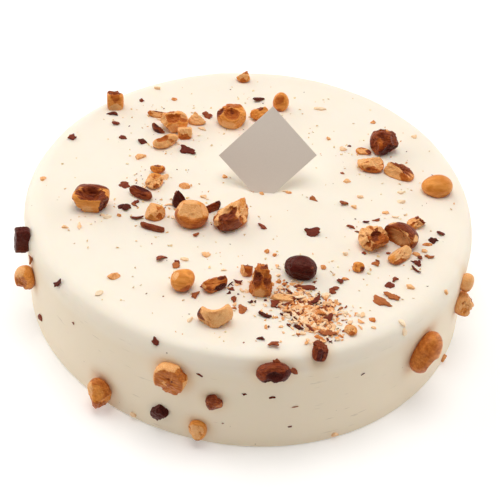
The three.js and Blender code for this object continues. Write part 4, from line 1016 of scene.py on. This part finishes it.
def cake_outline():
    """Radius and height of each ring, from the middle of the top to the middle of the base."""
    top = [(FLAT_RADIUS * step / TOP_RINGS, CAKE_HEIGHT) for step in range(TOP_RINGS)]
    turns = [math.pi / 2 * step / RIM_STEPS for step in range(RIM_STEPS + 1)]
    rim = [
        (FLAT_RADIUS + RIM_ROUND * math.sin(turn), WALL_TOP + RIM_ROUND * math.cos(turn))
        for turn in turns
    ]
    downs = [step / WALL_RINGS for step in range(1, WALL_RINGS + 1)]
    wall = [
        (CAKE_RADIUS + FOOT_SPREAD * down, WALL_TOP + (FOOT_ROUND - WALL_TOP) * down)
        for down in downs
    ]
    foot_radius = CAKE_RADIUS + FOOT_SPREAD
    foot = [(foot_radius - FOOT_ROUND * 0.3, FOOT_ROUND * 0.3), (foot_radius - FOOT_ROUND, 0)]
    base = [(FLAT_RADIUS * share, 0) for share in (0.75, 0.5, 0.25, 0)]
    return np.array(top + rim + wall + foot + base)


print("rings of corners:", len(cake_outline()) - 2)

# %% Lay out the rings of the cake
def cake_corners():
    """The rings of corners from the top down, then the middles of the top and the base."""
    bearings = 2 * math.pi * np.arange(SECTORS) / SECTORS
    rings = cake_outline()
    radius = rings[1:-1, 0][:, None] * out_of_round(bearings)[None, :]
    x = radius * np.cos(bearings)
    y = radius * np.sin(bearings)
    z = np.repeat(rings[1:-1, 1][:, None], SECTORS, axis=1)
    body = np.stack((x, y, z), axis=-1).reshape(-1, 3)
    return np.vstack((body, (0, 0, CAKE_HEIGHT), (0, 0, 0)))


def cake_faces():
    """Triangles between the rings, and a fan at the top and at the base."""
    rings = len(cake_outline()) - 2
    near = np.arange(SECTORS)
    far = (near + 1) % SECTORS
    faces = []
    for ring in range(rings - 1):
        upper, lower = ring * SECTORS, (ring + 1) * SECTORS
        faces.append(np.stack((upper + near, lower + near, lower + far), axis=1))
        faces.append(np.stack((upper + near, lower + far, upper + far), axis=1))
    middle, last = rings * SECTORS, (rings - 1) * SECTORS
    faces.append(np.stack((np.full(SECTORS, middle), near, far), axis=1))
    faces.append(np.stack((np.full(SECTORS, middle + 1), last + far, last + near), axis=1))
    return np.vstack(faces)


print("corners:", len(cake_corners()), "and triangles:", len(cake_faces()))

# %% [markdown]
# Next to the nuts on the side the glaze turns orange, partly from their oil and partly as painted
# reflected colour of the nuts. That is a mark on the mesh too: full where a nut touches and gone a
# few millimetres further out.

# %% Tint and settle the glaze
OIL_AND_REFLECTION_REACH = 2.6
BROW_HEIGHT = 50.6
BROW_SPREAD = 1.3
BROW_DEPTH = 0.9
SAG_SHARE = 0.6
DEEPEST_SAG = 0.1
SAG_STARTS = (0, 6)


def oil_and_reflection_near_nuts(corners):
    """How orange each corner is next to a side nut, from 0 to 1: oil and painted reflection."""
    oil_and_reflection = np.zeros(len(corners))
    for row in SIDE_PIECES:
        if row["kinds"][0] == "dark":
            continue
        place, axes = standing(on_side(*row["at"]), 0, row["turn"])
        own = (corners - place) @ axes.T
        flat = np.hypot(own[:, 0] / row["size"][0], own[:, 1] / row["size"][1]) * 2
        past = np.clip((flat - 1) * min(row["size"][:2]) / 2, 0, None)
        same_side = np.abs(own[:, 2]) < row["size"][1]
        oil_and_reflection = np.maximum(oil_and_reflection, same_side * np.exp(-((past / OIL_AND_REFLECTION_REACH) ** 2)))
    return oil_and_reflection


def settled(corners):
    """Faint sags in the poured glaze, none at the base, and a wavy brow just under the edge."""
    sag = 0.22 * soft_noise(corners / 26, 4) + 0.08 * soft_noise(corners / 9, 5)
    outward = corners * (1, 1, 0)
    length = np.linalg.norm(outward, axis=1)
    flat = corners[:, 2] > CAKE_HEIGHT - 0.01
    way = np.where(flat[:, None], (0, 0, 1.0), outward / np.maximum(length, 1)[:, None])
    kept = blend_in(corners[:, 2], *SAG_STARTS)
    near_rim = np.exp(-(((corners[:, 2] - BROW_HEIGHT) / BROW_SPREAD) ** 2)) * (length > FLAT_RADIUS)
    brow = BROW_DEPTH * near_rim * (0.5 + 0.5 * soft_noise(corners / (11, 11, 40), 6))
    return corners + way * (np.minimum(sag, DEEPEST_SAG) * kept * SAG_SHARE + brow)[:, None]


print("the brow stands out by", BROW_DEPTH, "mm at most")

# %% [markdown]
# The glaze is cream with a faint mottle and a soft sheen, and light goes a little way into it. The
# side is painted a darker, warmer cream than the top, as painted shade, from the top of the rim
# down. Ground vanilla shows as specks: cells of random size, most of them too small to see. Each
# layer of the finish is laid over the one before it.

# %% Finish the glaze
CREAM_LIGHT = (0.93, 0.86, 0.745)
CREAM_DEEP = (0.925, 0.84, 0.715)
SIDE_PAINTED_SHADE_CREAM = (0.90, 0.77, 0.585)
OIL_AND_REFLECTION_COLOUR = (0.80, 0.55, 0.30)
# The speck colour also paints the shade in the side's creases.
SPECK_AND_CREASE_SHADE_COLOUR = (0.36, 0.27, 0.18)

glaze, glaze_shader = new_finish("cream_glaze")
glaze_place = add_node(glaze, "TexCoord", {}).outputs["Object"]
mottle = cloudy(glaze, glaze_place, 45, 4)
cream = mixed(glaze, graded(glaze, mottle, 0.35, 0.65), CREAM_LIGHT, CREAM_DEEP)
height = add_node(glaze, "SeparateXYZ", {"Vector": glaze_place}).outputs["Z"]
# Painted shade: the cream turns darker and warmer from the top of the rim down the side.
low = graded(glaze, height, CAKE_HEIGHT * MM, (WALL_TOP - 4) * MM)
cream = mixed(glaze, low, cream, SIDE_PAINTED_SHADE_CREAM)
cells = add_node(glaze, "TexVoronoi", {"Vector": glaze_place, "Scale": 190.0})
chance = add_node(glaze, "SeparateColor", {"Color": cells.outputs["Color"]})
size_of_speck = graded(glaze, chance.outputs["Red"], 0.62, 1.0, 0.0, 0.075)
speck = sums(glaze, "LESS_THAN", cells.outputs["Distance"], size_of_speck)
speck = sums(glaze, "MULTIPLY", speck, graded(glaze, chance.outputs["Green"], 0, 1, 0.15, 0.8))
cream = mixed(glaze, speck, cream, SPECK_AND_CREASE_SHADE_COLOUR)
# Painted shade: short level creases on the side, drawn as thin dark lines.
drawn_flat = add_node(glaze, "Mapping", {"Vector": glaze_place, "Scale": (1, 1, 9)}).outputs[0]
painted_crease_shade = graded(glaze, cloudy(glaze, drawn_flat, 70, 2), 0.69, 0.73, 0, 0.3)
painted_crease_shade = sums(glaze, "MULTIPLY", painted_crease_shade, low)
cream = mixed(glaze, painted_crease_shade, cream, SPECK_AND_CREASE_SHADE_COLOUR)
patchy = graded(glaze, mottle, 0.3, 0.7, 0.25, 0.7)
# Orange next to the side nuts: partly their oil, partly painted reflected colour of the nuts.
oil_and_reflection = sums(glaze, "MULTIPLY", read_mark(glaze, "oil_and_reflection"), patchy)
cream = mixed(glaze, oil_and_reflection, cream, OIL_AND_REFLECTION_COLOUR)
wire(glaze, glaze_shader.inputs["Base Color"], cream)
wire(glaze, glaze_shader.inputs["Roughness"], graded(glaze, mottle, 0.3, 0.7, 0.42, 0.52))
set_values(glaze_shader, {
    "Subsurface Weight": 0.25,
    "Subsurface Radius": (1.0, 0.7, 0.4),
    "Subsurface Scale": 0.003,
})
dimples = cloudy(glaze, glaze_place, 900, 3)
relief = sums(glaze, "ADD", sums(glaze, "MULTIPLY", mottle, 4.0), dimples)
raised(glaze, glaze_shader, relief, 0.00003)
print("finished:", glaze.name)

# %% Make the cake
rounds = cake_corners()
cake = make_object("cake.glazed", settled(rounds), cake_faces(), glaze, {"oil_and_reflection": oil_and_reflection_near_nuts(rounds)})
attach(cake, "root")
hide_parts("cake")
print("cake:", len(cake.data.polygons), "triangles")

# %% [markdown]
# ## Chips, flakes and crumbs
#
# Chopped nuts leave shards of every size: flat chips of chocolate and skin, angular bits of nut,
# and a fine scatter. A particle system could strew them, but a joined mesh keeps each one solid
# and in the same place every time. A lump is a small ball cut by a few random flats. A flake is a
# ball pressed thin, with a jagged outline, and it is bent and leans a little.
#
# A row says where a crumb lies (x and y on the top, a bearing and a height on the side), how long,
# wide and tall it is, how it is turned, and sometimes its tone, from the first to the last colour
# of its finish. The other tones are drawn by chance.

# %% List the chips and crumbs
TOP_CHIPS = [
    (-0.6, 71.5, 7, 3.2, 3, 6), (-32, 26, 6.4, 3.6, 3, -16), (-21.8, -31.6, 3.4, 3, 2.6, 20),
    (-56.4, -1.6, 5.6, 3, 2.6, 8), (-54.4, -16.4, 5, 4.2, 3.2, 30), (-50, -13, 3, 2.2, 2, 20),
    (-48.2, -23.4, 4.4, 3, 2.4, 10), (-70, 51, 6, 2.8, 2.6, 14), (-25, 54.6, 4.4, 4, 3, 0),
    (-54, 31, 4.6, 3.4, 2.6, -40), (-63, 33, 3.2, 2.6, 2, 0), (-68, 43.4, 4, 3.2, 2.6, 0),
    (-86, 29.6, 4, 3.4, 3, 20), (-58, 63, 2.6, 2.4, 2, 0), (41, -3, 3.6, 3.2, 2.6, 0),
    (27.4, -1.6, 4.4, 2.2, 2, -10), (26.6, -24, 7, 4.2, 2.6, -18), (6.4, -22.8, 5.6, 2.2, 2, -60),
    (44.4, -18.4, 4.4, 1.8, 1.8, -20), (82.8, -18.4, 3.4, 2.8, 2.4, -30),
    (80, -23.4, 4, 3.2, 2.6, 0), (55, -41, 3, 2.8, 2.4, 0), (71, -42.6, 4, 2.2, 2, -50),
    (72.6, -38.4, 3, 2.8, 2.4, 0), (77.4, -34.4, 3, 2, 2, 0), (62.6, -49.4, 3.2, 2.6, 2.4, 30),
    (60, -53, 3.4, 2.8, 2.4, 20), (62, -60, 6.4, 3, 3, -28, 1), (56.6, -63.6, 7.2, 3, 3, -34, 1),
    (-18.4, -68, 3.6, 2.4, 2.6, 60), (-27.4, -51.2, 3.4, 2.6, 2, 0, 1),
    (1.2, -73.4, 4.6, 2.8, 2.4, -40, 0.95), (10.6, -76, 5, 2.8, 2.4, -24),
    (-3, -67.6, 3, 2.4, 2.2, 60), (-1.4, -58, 2.8, 2.4, 2, 0), (9.6, -88, 3, 2, 2, 0),
    (-35.2, -47.2, 4.4, 3.4, 3, 30),
]
TOP_NUT_BITS = [
    (-93, -1.4, 3.6, 3, 2.4, 0), (-52.2, 19.2, 5.6, 4.6, 3.4, 30), (-30, 0.6, 5.4, 3.6, 2.4, -20),
    (-21, -5.6, 3.2, 3, 2.4, 0), (-12.6, 9.6, 2.8, 2.6, 2, 0), (-42.4, 66.8, 3.2, 2.8, 2.2, 0),
    (-60.4, -23.8, 5, 2.8, 2.2, 14), (-56, -22.4, 3, 2.4, 2, 0), (-71.4, -31.4, 5.4, 2, 2, -66),
    (-77.4, -32.6, 2.8, 2.4, 2, 0), (29.8, 67, 6.6, 2.6, 2.2, -10), (33.8, 43.4, 2.8, 2.4, 2, 0),
    (40.6, 36.4, 4, 3, 2.4, 0), (55.4, 59.4, 3, 2.4, 2, 0), (74.8, 50.4, 3, 3, 2.4, 0),
    (43, 12.4, 4, 3, 2.4, 0), (48.6, 2.4, 3, 2.4, 2, 0), (46, -5, 3.2, 2.8, 2.4, 0),
    (67, 1.2, 4, 2.8, 2.2, 0), (66.8, 7.4, 3, 2.4, 2, 0), (4.6, -0.6, 4, 1.8, 1.8, -24),
    (16.6, 1.4, 3.2, 2, 1.8, -20), (-15.8, -43.2, 3.2, 2.4, 2.2, 30),
    (9.2, -38.2, 2.8, 2.6, 2.2, 0),
    (41.8, -36, 3, 2.6, 2, 0), (32.8, -45.6, 2.8, 2.6, 2, 0), (42.4, -71, 3, 2.6, 2.4, 0),
    (53, -73.2, 4, 3, 2.6, -30), (68.2, -53.4, 4.6, 3.4, 2.6, 0), (83.8, -52, 2.8, 3, 2.4, 0),
    (77, -26.4, 4.4, 2, 1.8, 10), (72, -33, 4.6, 2.2, 2.2, -30), (-52.2, -60, 5.4, 3.4, 3, 20),
    (-56.6, -70.6, 4.4, 2.6, 2.6, 60), (-51.4, 75, 4.2, 3.2, 3, 0), (65, -72.6, 4, 3, 2.6, -20),
    (-27.4, -55, 3.2, 2.6, 2, 0), (-19, -80.8, 3.4, 2, 1.8, 70), (12.6, -40, 2.4, 2.2, 2, 0),
]
SIDE_CHIPS = [
    (-155, 41, 6, 2.4, 2.6, 66), (-139.7, 48.5, 5.8, 2.6, 2.6, 60), (-151.6, 12, 4.4, 3, 3, 70),
    (-108.9, 49.4, 4, 2.4, 2.6, -30), (-80.6, 53, 3.6, 3.4, 2.6, 0), (-76.6, 46, 3.8, 2, 2, -40),
    (40, 40, 4.4, 2.4, 2.6, 60), (76, 14, 4.2, 2.6, 2.6, -30),
]
SIDE_NUT_BITS = [
    (-48.8, 48.4, 4.6, 2.4, 2.4, 60), (-114.4, 3.4, 3.4, 2.6, 2.6, 0),
    (-65.2, 2.6, 3.8, 2.4, 2.6, 0), (-27, 3.2, 4, 3, 3.4, 20), (138, 28, 4.4, 3, 2.8, 40),
]
print(len(TOP_CHIPS + SIDE_CHIPS), "chips and", len(TOP_NUT_BITS + SIDE_NUT_BITS), "bits of nut")

# %% [markdown]
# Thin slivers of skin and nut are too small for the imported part, but they are seen one by one, so
# they have rows as well.

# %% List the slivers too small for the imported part
SLIVERS = [
    (16.4, -97.3, 3.4, 3.2, 2.4, 0), (50.9, -14.7, 2.6, 1.6, 1.4, 20), (47.8, -21.6, 3, 1, 1.2, -20),
    (55.7, -12.8, 3, 1.2, 1.2, 10), (-4.9, -59.4, 2.6, 1, 1.4, 60), (-3.9, -62.2, 2.4, 1.4, 1.4, 0),
    (-4.7, -64.6, 2.2, 1.4, 1.4, 30), (-15.7, -62.3, 2.4, 1.4, 1.4, -40),
    (60.4, -33.5, 2.2, 1.2, 1.2, 0),
    (49.8, -34.7, 2.4, 1.4, 1.2, 30), (55.6, -39, 1.8, 1.4, 1.2, 0), (73.4, -35.2, 2.6, 2, 1.8, 0),
    (70.8, -38, 3, 1, 1.2, -30), (-27.3, -48.8, 2.2, 1.6, 1.4, 0), (-31.7, 26.2, 3, 1.6, 1.6, 0),
    (61.7, -59.7, 3.4, 2.4, 1.8, 0), (57.6, -63, 3.2, 1.8, 1.6, -30), (40.5, 18, 1.8, 1.2, 1, 0),
    (-8.4, -57, 2, 1.2, 1.2, 0), (4.2, -68.8, 2.4, 1.4, 1.4, 20), (22, -45, 2, 1.2, 1.2, 0),
    (-24.2, -10.6, 3.6, 1.4, 1.6, 15), (-50.4, -14.8, 3.4, 1.6, 1.6, -20), (44, 39, 1.8, 1.2, 1, 0),
]
PALE_SLIVERS = [
    (0.6, 0.7, 3.4, 1.4, 1.2, -30), (15.3, 2.4, 3, 1.2, 1.2, 10), (-1.7, -59.1, 3, 1.8, 1.4, 10),
    (2.2, -62.7, 2.6, 1.6, 1.4, 0), (-24.7, -46.7, 3, 2.2, 1.8, 0), (-16.3, -42.7, 2.8, 2, 1.6, 20),
    (63.7, -9.9, 2.8, 1.6, 1.4, 0), (59.8, -7.6, 2.4, 2, 1.4, 0), (75.3, -30.6, 3, 2, 1.8, 40),
    (-29.4, -14.4, 3, 2, 1.6, 40), (-35, -12.6, 4, 1.6, 1.4, 10), (-21, -14, 3, 1.8, 1.4, -60),
    (-46.8, 27.8, 2.4, 1.4, 1.2, 0), (-27, -22, 2.2, 1.6, 1.4, 0), (46.8, -44.6, 2.4, 1.8, 1.4, 0),
    (-39.4, 5.2, 4.2, 2.6, 1.8, 0), (-47.8, -2.6, 3.4, 1.6, 1.4, 60), (-34.4, 45.4, 3.6, 2, 1.8, 80),
    (-26.4, 44.4, 4.4, 2.2, 1.8, -40), (-45.6, 48.6, 4.6, 1.8, 1.6, -10), (42, -51, 2.6, 1.8, 1.4, 0),
    (-63, -23, 2.6, 1.6, 1.2, 0), (-32.6, -21.4, 3, 2, 1.6, -20), (-8, -51.4, 2.2, 1.6, 1.2, 0),
]
SIDE_SLIVERS = [
    (-81, 31.6, 2.4, 1.5, 1.1, 0), (-75.7, 24.9, 2.8, 0.8, 0.8, 4), (-97.7, 40.5, 2.6, 1, 0.9, -24),
    (-87.5, 32.8, 1.6, 1, 0.9, 0), (-76.4, 13, 1.8, 0.8, 0.8, 10), (-92, 14, 1.2, 0.9, 0.8, 0),
    (-60, 36, 1.6, 0.8, 0.8, 20), (-133, 36, 2, 1, 0.9, 30), (52, 40, 2.6, 1.4, 1, 20),
    (88, 22, 2, 1, 0.9, 0), (110, 44, 2.6, 1.2, 1, -40), (134, 18, 1.8, 1, 0.9, 0),
    (168, 24, 2.4, 1.2, 1, 50), (-172, 34, 2, 1, 0.9, 0), (30, 28, 2.2, 1, 0.9, -20),
]
print(len(SLIVERS + PALE_SLIVERS + SIDE_SLIVERS), "slivers")

# %% Cut lumps and flakes
def lump(size, rng, detail):
    """A small lump cut by random flats, in its own frame in millimetres."""
    ways, triangles = ball(detail)
    reach = 1 + 0.2 * soft_noise(ways * 1.9 + rng.uniform(0, 90), 21)
    for _ in range(7):
        facing = aim(rng.uniform(0, 360), rng.uniform(-25, 80))
        along = np.clip(ways @ facing, 0.02, None)
        reach = np.minimum(reach, rng.uniform(0.4, 0.85) / along)
    return ways * reach[:, None] * np.array(size) / 2, triangles


def jagged_outline(around, rng):
    """How far a flake reaches at each angle: straight snapped edges with small notches."""
    reach = np.full(len(around), 1.3)
    for _ in range(rng.integers(3, 6)):
        along = np.clip(np.cos(around - rng.uniform(0, 2 * math.pi)), 0.05, None)
        reach = np.minimum(reach, rng.uniform(0.55, 1.0) / along)
    notches = sum(
        np.sin(around * pitch + rng.uniform(0, 2 * math.pi)) / pitch for pitch in (3, 5, 8, 13)
    )
    return reach * (1 + 0.45 * notches)


def flake(size, rng, detail):
    """A thin chip with a jagged outline, bent along its length and leaning."""
    ways, triangles = ball(detail)
    outline = jagged_outline(np.arctan2(ways[:, 1], ways[:, 0]), rng)
    across, away, up = ways.T
    pressed = 0.42 * np.sign(up) * np.abs(up) ** 0.7
    flat = np.stack((across * outline, away * outline, pressed), axis=1)
    flat[:, 2] += rng.uniform(-0.5, 0.5) * flat[:, 0] ** 2 + rng.uniform(-0.3, 0.3) * flat[:, 1]
    flat[:, 2] += 0.12 * rough_noise(flat * 2.3 + rng.uniform(0, 90), 22)
    flat = flat * np.array(size) / 2
    lean = math.radians(rng.uniform(-38, 38))
    cosine, sine = math.cos(lean), math.sin(lean)
    across, away, up = flat.T
    leaning = (across, cosine * away - sine * up, sine * away + cosine * up)
    return np.stack(leaning).T, triangles


trial, _ = flake((4, 3, 2), np.random.default_rng(1), 3)
print("a flake of 4 by 3 by 2 mm comes out as", np.ptp(trial, axis=0).round(1), "mm")

# %% [markdown]
# Hundreds of loose objects would be slow to handle, so the crumbs of a kind are joined into one
# mesh. Each crumb brings a tone of its own, so that neighbours under one finish don't look alike.

# %% Join them into one mesh of each kind
RISE_OF_FORM = {lump: 0.12, flake: 0.2}  # how far its middle is off the glaze, for its height


def strew(name, form, seats, finish, detail, seed):
    """One mesh of one kind. Each seat is a spot on the glaze, a size, a turn and a tone."""
    rng = np.random.default_rng(seed)
    corners, faces, tones = [], [], []
    start = 0
    for seat, size, turn, tone in seats:
        crumb, triangles = form(size, rng, detail)
        place, axes = standing(seat, size[2] * RISE_OF_FORM[form], turn)
        corners.append(place + crumb @ axes)
        faces.append(triangles + start)
        tones.append(tone + 0.16 * soft_noise(crumb * 1.3 + start, 23))
        start += len(crumb)
    marks = {"tone": np.concatenate(tones)}
    made = make_object(name, np.vstack(corners), np.vstack(faces), finish, marks, smooth=False)
    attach(made, "root")
    print(name, len(seats), "crumbs,", len(made.data.polygons), "triangles")

# %% [markdown]
# Chopped chocolate runs from nearly black to the brown of nut skin, and bits of nut run from cream
# to amber. Instead of a finish for each shade, one colour ramp turns the tone of a crumb into its
# colour, and a fine grain varies it within the crumb.

# %% Finish the crumbs
def crumb_finish(name, tones):
    """Colours from the first to the last of the tones, varied a little within a crumb."""
    finish, shader = new_finish(name)
    place = add_node(finish, "TexCoord", {}).outputs["Object"]
    grain = cloudy(finish, place, 1500, 3)
    uneven = graded(finish, grain, 0.3, 0.7, -0.12, 0.12)
    tone = sums(finish, "ADD", read_mark(finish, "tone"), uneven)
    ramp = add_node(finish, "ValToRGB", {"Fac": tone})
    steps = ramp.color_ramp.elements
    steps[0].color = (*tones[0], 1)
    steps[1].color = (*tones[-1], 1)
    for number, colour in enumerate(tones[1:-1], start=1):
        steps.new(number / (len(tones) - 1)).color = (*colour, 1)
    wire(finish, shader.inputs["Base Color"], ramp.outputs["Color"])
    wire(finish, shader.inputs["Roughness"], graded(finish, grain, 0.3, 0.7, 0.45, 0.65))
    set_values(shader, {"Specular IOR Level": 0.25, "Specular Tint": WARM_SHINE})
    raised(finish, shader, grain, 0.0001, 0.6)
    return finish


CHIP_TONES = [(0.06, 0.008, 0.005), (0.16, 0.026, 0.016), (0.25, 0.05, 0.022), (0.48, 0.15, 0.045)]
CRUMB_TONES = [(0.97, 0.80, 0.58), (0.96, 0.66, 0.40), (0.92, 0.48, 0.20), (0.62, 0.19, 0.04)]
FLECK_TONES = [(0.86, 0.74, 0.50), (0.90, 0.64, 0.30), (0.66, 0.50, 0.30), (0.80, 0.42, 0.16)]
CHIP_FINISH = crumb_finish("chocolate_chip", CHIP_TONES)
FLECK_FINISH = crumb_finish("nut_fleck", FLECK_TONES)
CRUMB_FINISH = crumb_finish("nut_crumb", CRUMB_TONES)
print("finishes:", CHIP_FINISH.name, FLECK_FINISH.name, CRUMB_FINISH.name)

# %% Strew the chips and crumbs
tone_draw = np.random.default_rng(3)


def rows_to_seats(rows, find_seat):
    """Seats from rows, with a drawn tone where a row has none."""
    return [
        (find_seat(*row[:2]), row[2:5], row[5], row[6] if len(row) > 6 else tone_draw.uniform(0, 1))
        for row in rows
    ]


chip_seats = rows_to_seats(TOP_CHIPS, on_top) + rows_to_seats(SIDE_CHIPS, on_side)
strew("chocolate_chips", flake, chip_seats, CHIP_FINISH, 4, 11)
bit_seats = rows_to_seats(TOP_NUT_BITS, on_top) + rows_to_seats(SIDE_NUT_BITS, on_side)
strew("nut_bits", lump, bit_seats, CRUMB_FINISH, 4, 12)
sliver_seats = rows_to_seats(SLIVERS, on_top) + rows_to_seats(SIDE_SLIVERS, on_side)
strew("dark_slivers", flake, sliver_seats, CHIP_FINISH, 3, 18)
pale_seats = rows_to_seats(PALE_SLIVERS, on_top)
strew("pale_slivers", flake, pale_seats, CRUMB_FINISH, 3, 19)

# %% [markdown]
# The heap at the front is where the last crumbs of the bag fell: a long patch that runs down to
# the right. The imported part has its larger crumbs, so the same draws place them here, and finer
# ones fill in between.

# %% Heap the crumbs
HEAP_MIDDLE = (27, -72)
HEAP_HALF = (15, 8.5)
HEAP_TURN = math.radians(-35)
HEAP_CRUMBS = 46
HEAP_SEED = 77


def heap_spot(around, spread, wider=1.0):
    """A spot in the long patch of the heap: 0 is its middle and 1 its border."""
    along = HEAP_HALF[0] * wider * spread * math.cos(around)
    across = HEAP_HALF[1] * wider * spread * math.sin(around)
    x = HEAP_MIDDLE[0] + along * math.cos(HEAP_TURN) - across * math.sin(HEAP_TURN)
    return x, HEAP_MIDDLE[1] + along * math.sin(HEAP_TURN) + across * math.cos(HEAP_TURN)


heap_draw = draws(HEAP_SEED)
heap_seats = []
for _ in range(HEAP_CRUMBS):
    x, y = heap_spot(2 * math.pi * next(heap_draw), math.sqrt(next(heap_draw)))
    long = 2.2 + 2.2 * next(heap_draw)
    size = (long, 1.6 + 0.8 * next(heap_draw), 1.8 + 0.8 * next(heap_draw))
    heap_seats.append((on_top(x, y), size, 180 * next(heap_draw), tone_draw.uniform(0, 1)))
strew("heap_crumbs", lump, heap_seats, CRUMB_FINISH, 3, 13)

# %% [markdown]
# A few long flakes give the heap its look: dark skin among pale shards. They lie where they are
# wanted and not by chance.

# %% Lay the flakes of the heap one by one
HEAP_DARK_FLAKES = [
    (25.6, -58.4, 9.6, 2.2, 2, -14), (13.4, -68.3, 4, 3, 2.4, 40), (19.8, -67.6, 4.4, 2.4, 2, 20),
    (29.8, -65.4, 4.2, 3.8, 2.4, 60), (27.8, -67.3, 4.4, 2, 2, -30), (23.8, -73.3, 2.6, 2.4, 2.2, 10),
    (28, -72.9, 4.6, 1.8, 2, 14), (35.5, -74.9, 3.4, 3.4, 3, 0), (23.1, -80.5, 4, 1.6, 1.8, -30),
    (28.6, -81, 4.6, 1.8, 2.2, -46), (34.9, -82.5, 5.4, 2.8, 2.4, -10), (38.2, -57.6, 4.2, 2, 2, 30),
    (36.6, -59.6, 3.6, 2.6, 2.2, 50), (40.2, -52.8, 3.4, 2, 2, -20), (19.6, -61.4, 4, 1.6, 1.8, -40),
    (33.4, -69, 2.6, 1.8, 1.8, 10), (21.5, -76.5, 2.4, 1.6, 1.6, 50), (30.4, -76.8, 3, 1.6, 1.8, 80),
]
HEAP_PALE_FLAKES = [
    (31.5, -72, 4.8, 4, 3, 20), (32.2, -85.4, 5, 1.8, 1.8, -30), (34.2, -61.5, 3.6, 2.4, 2, 40),
    (24, -63.6, 5, 2.6, 2, 10), (26.4, -69.6, 4.4, 2.6, 2.2, -20), (22.4, -70.6, 3.8, 2.8, 2, 60),
    (29.4, -79, 4.4, 1.8, 2, -50), (26.2, -78.2, 4, 2.4, 2, -20), (18.4, -72.2, 3.4, 2.4, 2, 0),
    (33.4, -77.8, 3.4, 2.2, 2, 70), (35, -66.4, 3.4, 2, 2, 15), (20.8, -64.6, 3.4, 2.2, 1.8, -30),
    (30.6, -69.2, 3.6, 2.2, 2.2, 35), (24.6, -76, 3, 2.4, 2, 90),
]
dark_flakes = rows_to_seats(HEAP_DARK_FLAKES, on_top)
strew("heap_dark_flakes", flake, dark_flakes, CHIP_FINISH, 4, 16)
pale_flakes = rows_to_seats(HEAP_PALE_FLAKES, on_top)
strew("heap_pale_flakes", flake, pale_flakes, CRUMB_FINISH, 4, 17)

# %% [markdown]
# The dust of the chopping is thick in the heap, thinner round the pieces and very thin on the rest
# of the top. Nobody looks for one grain of it, so its places are drawn, from a fixed seed.

# %% Sift the fine crumbs
FINE_IN_HEAP = 620
FINE_DARK_IN_HEAP = 290
FINE_BY_PIECES = 300
FINE_DARK_BY_PIECES = 60
FINE_ANYWHERE = 200
sift = np.random.default_rng(8)


def fine_size(largest):
    """A drawn length, width and height."""
    long = sift.uniform(0.35, 1.0) * largest
    return (long, long * sift.uniform(0.5, 0.9), long * sift.uniform(0.5, 0.8))


def in_heap(number, largest):
    """Seats that are dense in the middle of the heap and thin out beyond its border."""
    seats = []
    for _ in range(number):
        spot = heap_spot(sift.uniform(0, 2 * math.pi), abs(sift.normal(0, 0.66)), 1.35)
        if math.hypot(*spot) < FLAT_RADIUS + 3:
            size = fine_size(largest)
            seats.append((on_top(*spot), size, sift.uniform(0, 180), sift.uniform(0, 1)))
    return seats


def by_a_piece():
    """A spot near one of the pieces on the top."""
    row = TOP_PIECES[sift.integers(len(TOP_PIECES))]
    return row["at"] + sift.normal(0, 9, 2)


def anywhere():
    """A spot on the square round the top."""
    return sift.uniform(-FLAT_RADIUS, FLAT_RADIUS, 2)


def scattered(number, largest, draw_spot):
    """Seats at drawn spots, without those that fall past the flat top."""
    seats = []
    for _ in range(number):
        spot = draw_spot()
        if math.hypot(*spot) < FLAT_RADIUS:
            tone = sift.uniform(0, 1)
            seats.append((on_top(*spot), fine_size(largest), sift.uniform(0, 180), tone))
    return seats


strew("fine_nut_crumbs", flake, in_heap(FINE_IN_HEAP, 2.6), CRUMB_FINISH, 2, 14)
flecks = scattered(FINE_BY_PIECES, 1.5, by_a_piece) + scattered(FINE_ANYWHERE, 1.2, anywhere)
strew("fine_flecks", flake, flecks, FLECK_FINISH, 2, 20)
dark = in_heap(FINE_DARK_IN_HEAP, 2.0) + scattered(FINE_DARK_BY_PIECES, 1.0, by_a_piece)
strew("fine_dark_crumbs", flake, dark, CHIP_FINISH, 2, 15)

# %% [markdown]
# ## The card
#
# A small bare card stands with one corner in the glaze and leans back. Its shape is right in the
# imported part, so that solid stays and only gets its finish: warm grey paper with a fine fibre.

# %% Finish the card
PAPER_LIGHT = (0.80, 0.72, 0.64)
PAPER_DEEP = (0.74, 0.66, 0.58)
paper, paper_shader = new_finish("card_paper")
paper_place = add_node(paper, "TexCoord", {}).outputs["Object"]
fibre = cloudy(paper, paper_place, 1400, 5, 0.7)
wire(paper, paper_shader.inputs["Base Color"], mixed(paper, fibre, PAPER_DEEP, PAPER_LIGHT))
wire(paper, paper_shader.inputs["Roughness"], graded(paper, fibre, 0.3, 0.7, 0.5, 0.62))
raised(paper, paper_shader, fibre, 0.00004, 0.5)
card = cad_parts["card"]
card.data.materials.clear()
card.data.materials.append(paper)
print("card finished")
